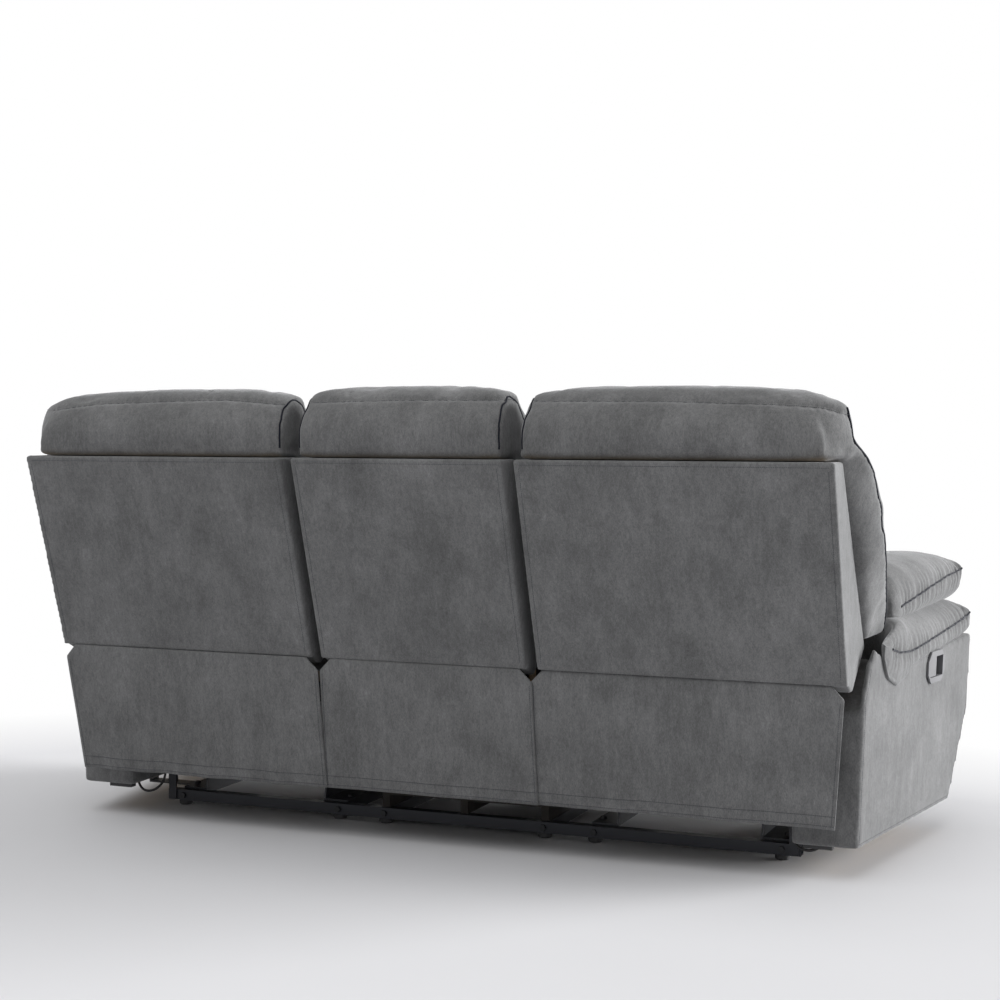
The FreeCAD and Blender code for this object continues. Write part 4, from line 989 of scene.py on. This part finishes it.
@dataclass
class ArmPillow(Padded):
    """Arm pillow made of rings along the arm, piped and gathered at its outer edge.

    Each station is y, inner x, outer x, height of the piping, height of the crown and
    height of the underside.
    """

    side: Side = Side.RIGHT
    stations: tuple[tuple[float, ...], ...] = ()
    around: int = 72
    along: int = 96
    cap_rows: int = 14
    cap_tip: float = 0.12
    squareness: tuple[float, float] = (0.72, 0.86)
    most: float = 0.009

    def held(self, places: np.ndarray, outward: np.ndarray) -> np.ndarray:
        """Held on its underside and at its inner face."""
        return (outward[:, 2] < -0.35) | (outward[:, 0] * self.side.value < -0.6)

    def shape(self, name: str) -> bpy.types.Object:
        """Loft the rings, close the ends and fill them."""
        table = np.array(self.stations)
        run = np.linspace(0, 1, self.along)
        run = 0.5 - 0.5 * np.cos(np.pi * run)
        ys = table[0, 0] + run * (table[-1, 0] - table[0, 0])
        turned = table[np.argsort(table[:, 0])]
        columns = [np.interp(ys, turned[:, 0], turned[:, k]) for k in range(1, 6)]
        grid, faces, n = [], [], self.around
        for row, y in enumerate(ys):
            near, far, rim, crown, under = (column[row] for column in columns)
            inward = min(1.0, min(row, len(ys) - 1 - row) / self.cap_rows)
            end = self.cap_tip + (1 - self.cap_tip) * math.sqrt(1 - (1 - inward) ** 2)
            middle, half = (near + far) / 2, (far - near) / 2
            for k in range(n):
                turn = 2 * math.pi * k / n
                c, d = math.cos(turn), math.sin(turn)
                tall = (crown - rim) if d > 0 else (rim - under)
                wide = math.copysign(abs(c) ** self.squareness[0], c) * half * (0.75 + 0.25 * end)
                grid.append((self.side.value * (middle + wide), y,
                             rim + math.copysign(abs(d) ** self.squareness[1], d) * tall * end))
        for row in range(len(ys) - 1):
            for k in range(n):
                a, b = row * n + k, row * n + (k + 1) % n
                faces.append((a, b, b + n, a + n))
        last = (len(ys) - 1) * n
        faces += [tuple(range(n)), tuple(last + k for k in range(n))]
        mesh = bpy.data.meshes.new(name)
        mesh.from_pydata(grid, [], faces)
        shape = bmesh.new()
        shape.from_mesh(mesh)
        bmesh.ops.poke(shape, faces=[f for f in shape.faces if len(f.verts) > 4])
        bmesh.ops.recalc_face_normals(shape, faces=shape.faces)
        shape.to_mesh(mesh)
        shape.free()
        piece = linked(name, mesh)
        relaxed(piece, 2)
        filled(piece, self.held, self.pressure, self.most)
        piece = finer(piece)
        smooth(piece)
        return piece

    def sewn(self, piece: bpy.types.Object, shop: Workshop) -> None:
        """Pipe and gather the outer edge."""
        inside = self.stations[1:-1]
        corners = [(self.side.value * s[2], s[0], s[3]) for s in inside]
        seam = Seam.along(piece, corners)
        seam.press(piece, 0.0035, 0.020, gathers=0.0016, spacing=0.0066)
        shop.pipe(seam.on(piece), self.node + "_piping", self.body, 0.0026)


@dataclass
class Skin:
    """Cloth drawn over a board: an even skin over its solid, stitched along its edges."""

    node: str
    body: str
    voxel: float = 0.0055
    rounds: int = 3
    plate: tuple[tuple[Point, ...], ...] = ()

    def build(self, shop: Workshop, lines: Sequence[Sequence[Point]]) -> bpy.types.Object:
        """Make the skin and its stitched lines.

        Args:
            shop: materials and stitches.
            lines: corners of each stitched line.

        Returns:
            The skin.
        """
        piece = from_solid((self.node,), self.node + "_skin", self.voxel, self.rounds, self.plate)
        smooth(piece)
        for number, corners in enumerate(lines):
            seam = Seam.along(piece, corners)
            seam.press(piece, 0.0014, 0.0045)
            shop.stitch(seam.on(piece), f"{self.node}_stitch_{number}", self.body)
        shop.carry(piece, self.body, "grey_microsuede")
        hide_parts(self.node)
        return piece


@dataclass
class OuterBack(Skin):
    """Outer back panel, stitched 10 mm inside both its upright edges."""

    inset: float = 0.012
    upright: tuple[float, float] = (0.425, 0.838)
    crosswise: float = 0.842
    top: tuple[float, float] = (0.47, 0.854)
    lean: float = 17.4

    def rear(self, z: float) -> float:
        """How far back the panel is at a height."""
        return self.top[0] - (self.top[1] - z) * math.tan(math.radians(self.lean))

    def made(self, shop: Workshop) -> None:
        """Make it with its upright and top stitching."""
        low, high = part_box(self.node)
        a, b = low.x + self.inset, high.x - self.inset
        self.build(shop, [
            [(x, self.rear(z), z) for z in self.upright] for x in (a, b)
        ] + [[(x, self.rear(self.crosswise), self.crosswise) for x in (a, b)]])


@dataclass
class RearSkirt:
    """Cloth flap that hangs from a back's lower seam: soft folds and a stitched hem."""

    node: str
    body: str
    top: tuple[float, float]
    hem: tuple[float, float]
    follows: Optional[str] = None
    fold: float = 0.007
    folds: float = 3.2
    phase: float = 0.4
    high: float = 0.4095
    low: float = 0.115
    chamfer: float = 0.028
    lift: float = 0.0
    across: int = 110
    down: int = 54
    thickness: float = 0.003
    hem_rows: tuple[float, float] = (0.0066, 0.027)
    edge: float = 0.011

    def at(self, u: float, v: float, lift: float = 0.0) -> Vector:
        """A point of the cloth.

        Args:
            u: share of the width from its low X side.
            v: share of the drop from the top.
            lift: distance in front of the cloth's middle.

        Returns:
            The place in the row frame.
        """
        drop = v * (self.high - self.low)
        cut = max(0.0, self.chamfer - drop)
        x0 = self.top[0] + (self.hem[0] - self.top[0]) * v + cut
        x1 = self.top[1] + (self.hem[1] - self.top[1]) * v - cut
        swell = math.sin(2 * math.pi * (self.folds * u + 0.35 * v) + self.phase)
        swell += 0.45 * math.sin(2 * math.pi * (self.folds * 2.3 * u - 0.8 * v) + 1.7 * self.phase)
        x = x0 + (x1 - x0) * u
        calm = 1 - 0.85 * math.exp(-((abs(x) - 0.25) / 0.05) ** 2)
        y = 0.3275 - 0.036 * v ** 1.15 + self.fold * 0.62 * v ** 1.3 * swell * calm
        return Vector((x, y + lift + self.lift, self.high - drop))

    def build(self, shop: Workshop) -> None:
        across, down = self.across, self.down
        grid = [self.at(i / across, j / down) for j in range(down + 1) for i in range(across + 1)]
        faces = [
            (k, k + across + 1, k + across + 2, k + 1)
            for j in range(down) for i in range(across) for k in [j * (across + 1) + i]
        ]
        name = self.node + "_cloth"
        mesh = bpy.data.meshes.new(name)
        mesh.from_pydata(grid, [], faces)
        piece = linked(name, mesh)
        wall = piece.modifiers.new("wall", "SOLIDIFY")
        wall.thickness, wall.offset = self.thickness, 0.0
        piece = settled(piece)
        piece.name = name
        shape = bmesh.new()
        shape.from_mesh(piece.data)
        bmesh.ops.recalc_face_normals(shape, faces=shape.faces)
        shape.to_mesh(piece.data)
        shape.free()
        smooth(piece)
        parts = [(piece, "grey_microsuede")]
        drop = self.high - self.low
        for number, up in enumerate(self.hem_rows):
            v = 1 - up / drop
            row = Seam([self.at(0.006 + 0.988 * k / 160, v, 0.0018) for k in range(161)])
            parts.append((shop.stitches.sew(row, f"{self.node}_hem_{number}"), "thread"))
        for number, u in enumerate((self.edge, 1 - self.edge)):
            row = Seam([self.at(u, k / 80, 0.0018) for k in range(10, 79)])
            parts.append((shop.stitches.sew(row, f"{self.node}_edge_{number}"), "thread"))
        for part, finish in parts:
            dressed(part, shop.finishes[finish])
            if self.follows:
                middle = sum(self.top) / 2
                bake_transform(part)
            else:
                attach(part, self.body)
        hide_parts(self.node)
        LOG.info("%s", name)


class HardParts:
    """Frame, mechanism, timber, springs and handles: their solids are right as they are."""

    # base_bolts get black oxide steel; centre_seat_frame gets near-black timber as painted shade for
    # the shade under the centre seat.
    darkened: dict[str, str] = {"base_bolts": "blackened_steel", "centre_seat_frame": "stained_timber"}

    def build(self, shop: Workshop) -> None:
        """Give every shown solid the finish that its record names, but black oxide steel for the base
        bolts and near-black timber as painted shade for the centre seat frame.
        """
        for entry in frame["record"]["subparts"]:
            solid, finish = frame["nodes"][entry["node"]], entry["material_slot"]
            # The record's finish, or an override from the table above: black oxide bolts, or painted
            # shade on the centre seat frame.
            finish_or_painted_shade = self.darkened.get(entry["node"], finish)
            if not solid.material_slots:
                solid.data.materials.append(shop.finishes[finish_or_painted_shade])
            for place in solid.material_slots:
                place.material = shop.finishes[finish_or_painted_shade]


class Sofa:
    """The whole sofa, built sub-assembly by sub-assembly."""

    lower_pillow: tuple[tuple[float, ...], ...] = (
        (-0.470, 0.800, 1.052, 0.486, 0.505, 0.440), (-0.455, 0.795, 1.056, 0.487, 0.514, 0.414),
        (-0.380, 0.792, 1.051, 0.480, 0.520, 0.408), (-0.250, 0.792, 1.031, 0.466, 0.520, 0.400),
        (-0.120, 0.792, 1.011, 0.453, 0.520, 0.392), (-0.035, 0.792, 0.998, 0.446, 0.518, 0.386),
        (0.005, 0.930, 0.992, 0.445, 0.512, 0.382), (0.070, 0.951, 0.982, 0.450, 0.500, 0.378),
        (0.130, 0.953, 0.971, 0.464, 0.488, 0.402), (0.165, 0.955, 0.966, 0.472, 0.482, 0.442),
    )
    upper_pillow: tuple[tuple[float, ...], ...] = (
        (-0.452, 0.812, 1.030, 0.588, 0.600, 0.520), (-0.435, 0.800, 1.036, 0.590, 0.618, 0.505),
        (-0.340, 0.794, 1.018, 0.580, 0.634, 0.500), (-0.220, 0.792, 0.998, 0.564, 0.636, 0.496),
        (-0.100, 0.794, 0.976, 0.544, 0.628, 0.492), (-0.040, 0.800, 0.962, 0.533, 0.612, 0.490),
        (-0.012, 0.815, 0.950, 0.530, 0.585, 0.496),
    )

    rear_corner = (
        (0.125, 0.335), (0.243, 0.335), (0.240, 0.392), (0.223, 0.440), (0.190, 0.470), (0.125, 0.436),
    )

    corner_wall: float = 0.012
    arm_stitches = (
        ((0.236, 0.078), (0.236, 0.37), (0.214, 0.435)),
        ((0.232, 0.078), (-0.325, 0.078), (-0.424, 0.272), (-0.427, 0.43)),
    )

    @staticmethod
    def arm_face(side: int, y: float, z: float) -> Point:
        """A place on an arm's flared side."""
        return (side * (0.942 + 0.165 * (0.245 - y) - 0.04 * (0.44 - z)), y, z)

    def __init__(self, shop: Workshop) -> None:
        """Keep the workshop."""
        self.shop = shop

    def backs(self) -> None:
        """Shells, cushions, rolls and skirts of the three backs."""
        shop = self.shop
        seams = {
            "left_": ((50, 410), (99, 403), (178, 400), (230, 399), (284, 404)),
            "centre_": ((297, 402), (400, 399), (516, 399)),
            "right_": ((530, 400), (663, 400), (721, 402), (772, 403), (824, 407), (850, 415)),
        }
        pulls = {
            "left_": (((150, 388), (139, 400)), ((218, 386), (202, 397)), ((186, 408), (181, 425))),
            "centre_": (((352, 390), (347, 398)), ((450, 404), (446, 424))),
            "right_": (
                ((665, 388), (663, 395)), ((666, 404), (660, 431)), ((647, 404), (647, 426)),
                ((589, 404), (590, 436)), ((612, 404), (611, 430)), ((862, 440), (838, 453)),
            ),
        }
        for start, body, ends, wing in (
            ("left_", "left_back", (0.2725,), 1),
            ("centre_", "base", (-0.2375, 0.2375), 0),
            ("right_", "right_back", (-0.2725,), -1),
        ):
            BackPillow(start + "head_roll", body, seam=seams[start], pulls=pulls[start],
                       piped_ends=ends, wing=wing, others=(start + "back_cushion",)).build(shop)
            OuterBack(start + "back_shell", body, voxel=0.005, rounds=2).made(shop)
        RearSkirt("centre_rear_skirt", "base", (-0.254, 0.247), (-0.256, 0.250), None, 0.0035,
                  1.6, 1.1).build(shop)
        RearSkirt("left_rear_skirt", "left_back", (0.251, 0.915), (0.246, 0.889), "left_seat",
                  phase=2.3, lift=0.0045).build(shop)
        RearSkirt("right_rear_skirt", "right_back", (-0.915, -0.250), (-0.889, -0.245),
                  "right_seat", fold=0.005, folds=2.4, lift=-0.0045).build(shop)

    def seats(self) -> None:
        """Seat cushions and foot pads."""
        for start, body, rest, pad in (
            ("left_", "left_seat", "left_footrest", "footrest_cushion"),
            ("centre_", "base", "base", "front_panel"),
            ("right_", "right_seat", "right_footrest", "footrest_cushion"),
        ):
            SeatCushion(start + "seat_cushion", body).build(self.shop)
            FootPad(start + pad, rest).build(self.shop)

    def arms(self) -> None:
        """Covers and pillows of both arms."""
        for side in Side:
            start, s = side.word + "_", side.value
            corner, *lines = (
                tuple(self.arm_face(s, y, z) for y, z in line)
                for line in (self.rear_corner, *self.arm_stitches)
            )
            within = tuple((x - s * self.corner_wall, y, z) for x, y, z in corner)
            Skin(start + "arm_cover", "base", 0.006, 3, (corner, within)).build(self.shop, lines)
            ArmPillow(start + "arm_lower_pillow", "base", side=side,
                      stations=self.lower_pillow).build(self.shop)
            ArmPillow(start + "arm_upper_pillow", "base", side=side,
                      stations=self.upper_pillow).build(self.shop)


def corners(box: tuple[Vector, Vector]) -> list[list[float]]:
    """A box as plain lists."""
    return [[round(float(v), 6) for v in corner] for corner in box]


def main() -> None:
    """Build the sofa in its studio."""
    logging.basicConfig(level=logging.INFO, format="%(message)s")
    camera = Studio().build()
    finishes = Finishes()
    shop = Workshop(finishes, StitchTree(finishes["thread"]), camera)
    for side in Side:
        ReleaseCable(side).build(shop)
    HardParts().build(shop)
    sofa = Sofa(shop)
    sofa.backs()
    sofa.seats()
    sofa.arms()
    {"cad": corners(CAD_BOX), "visual": corners(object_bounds())}


if __name__ == "__main__":
    main()
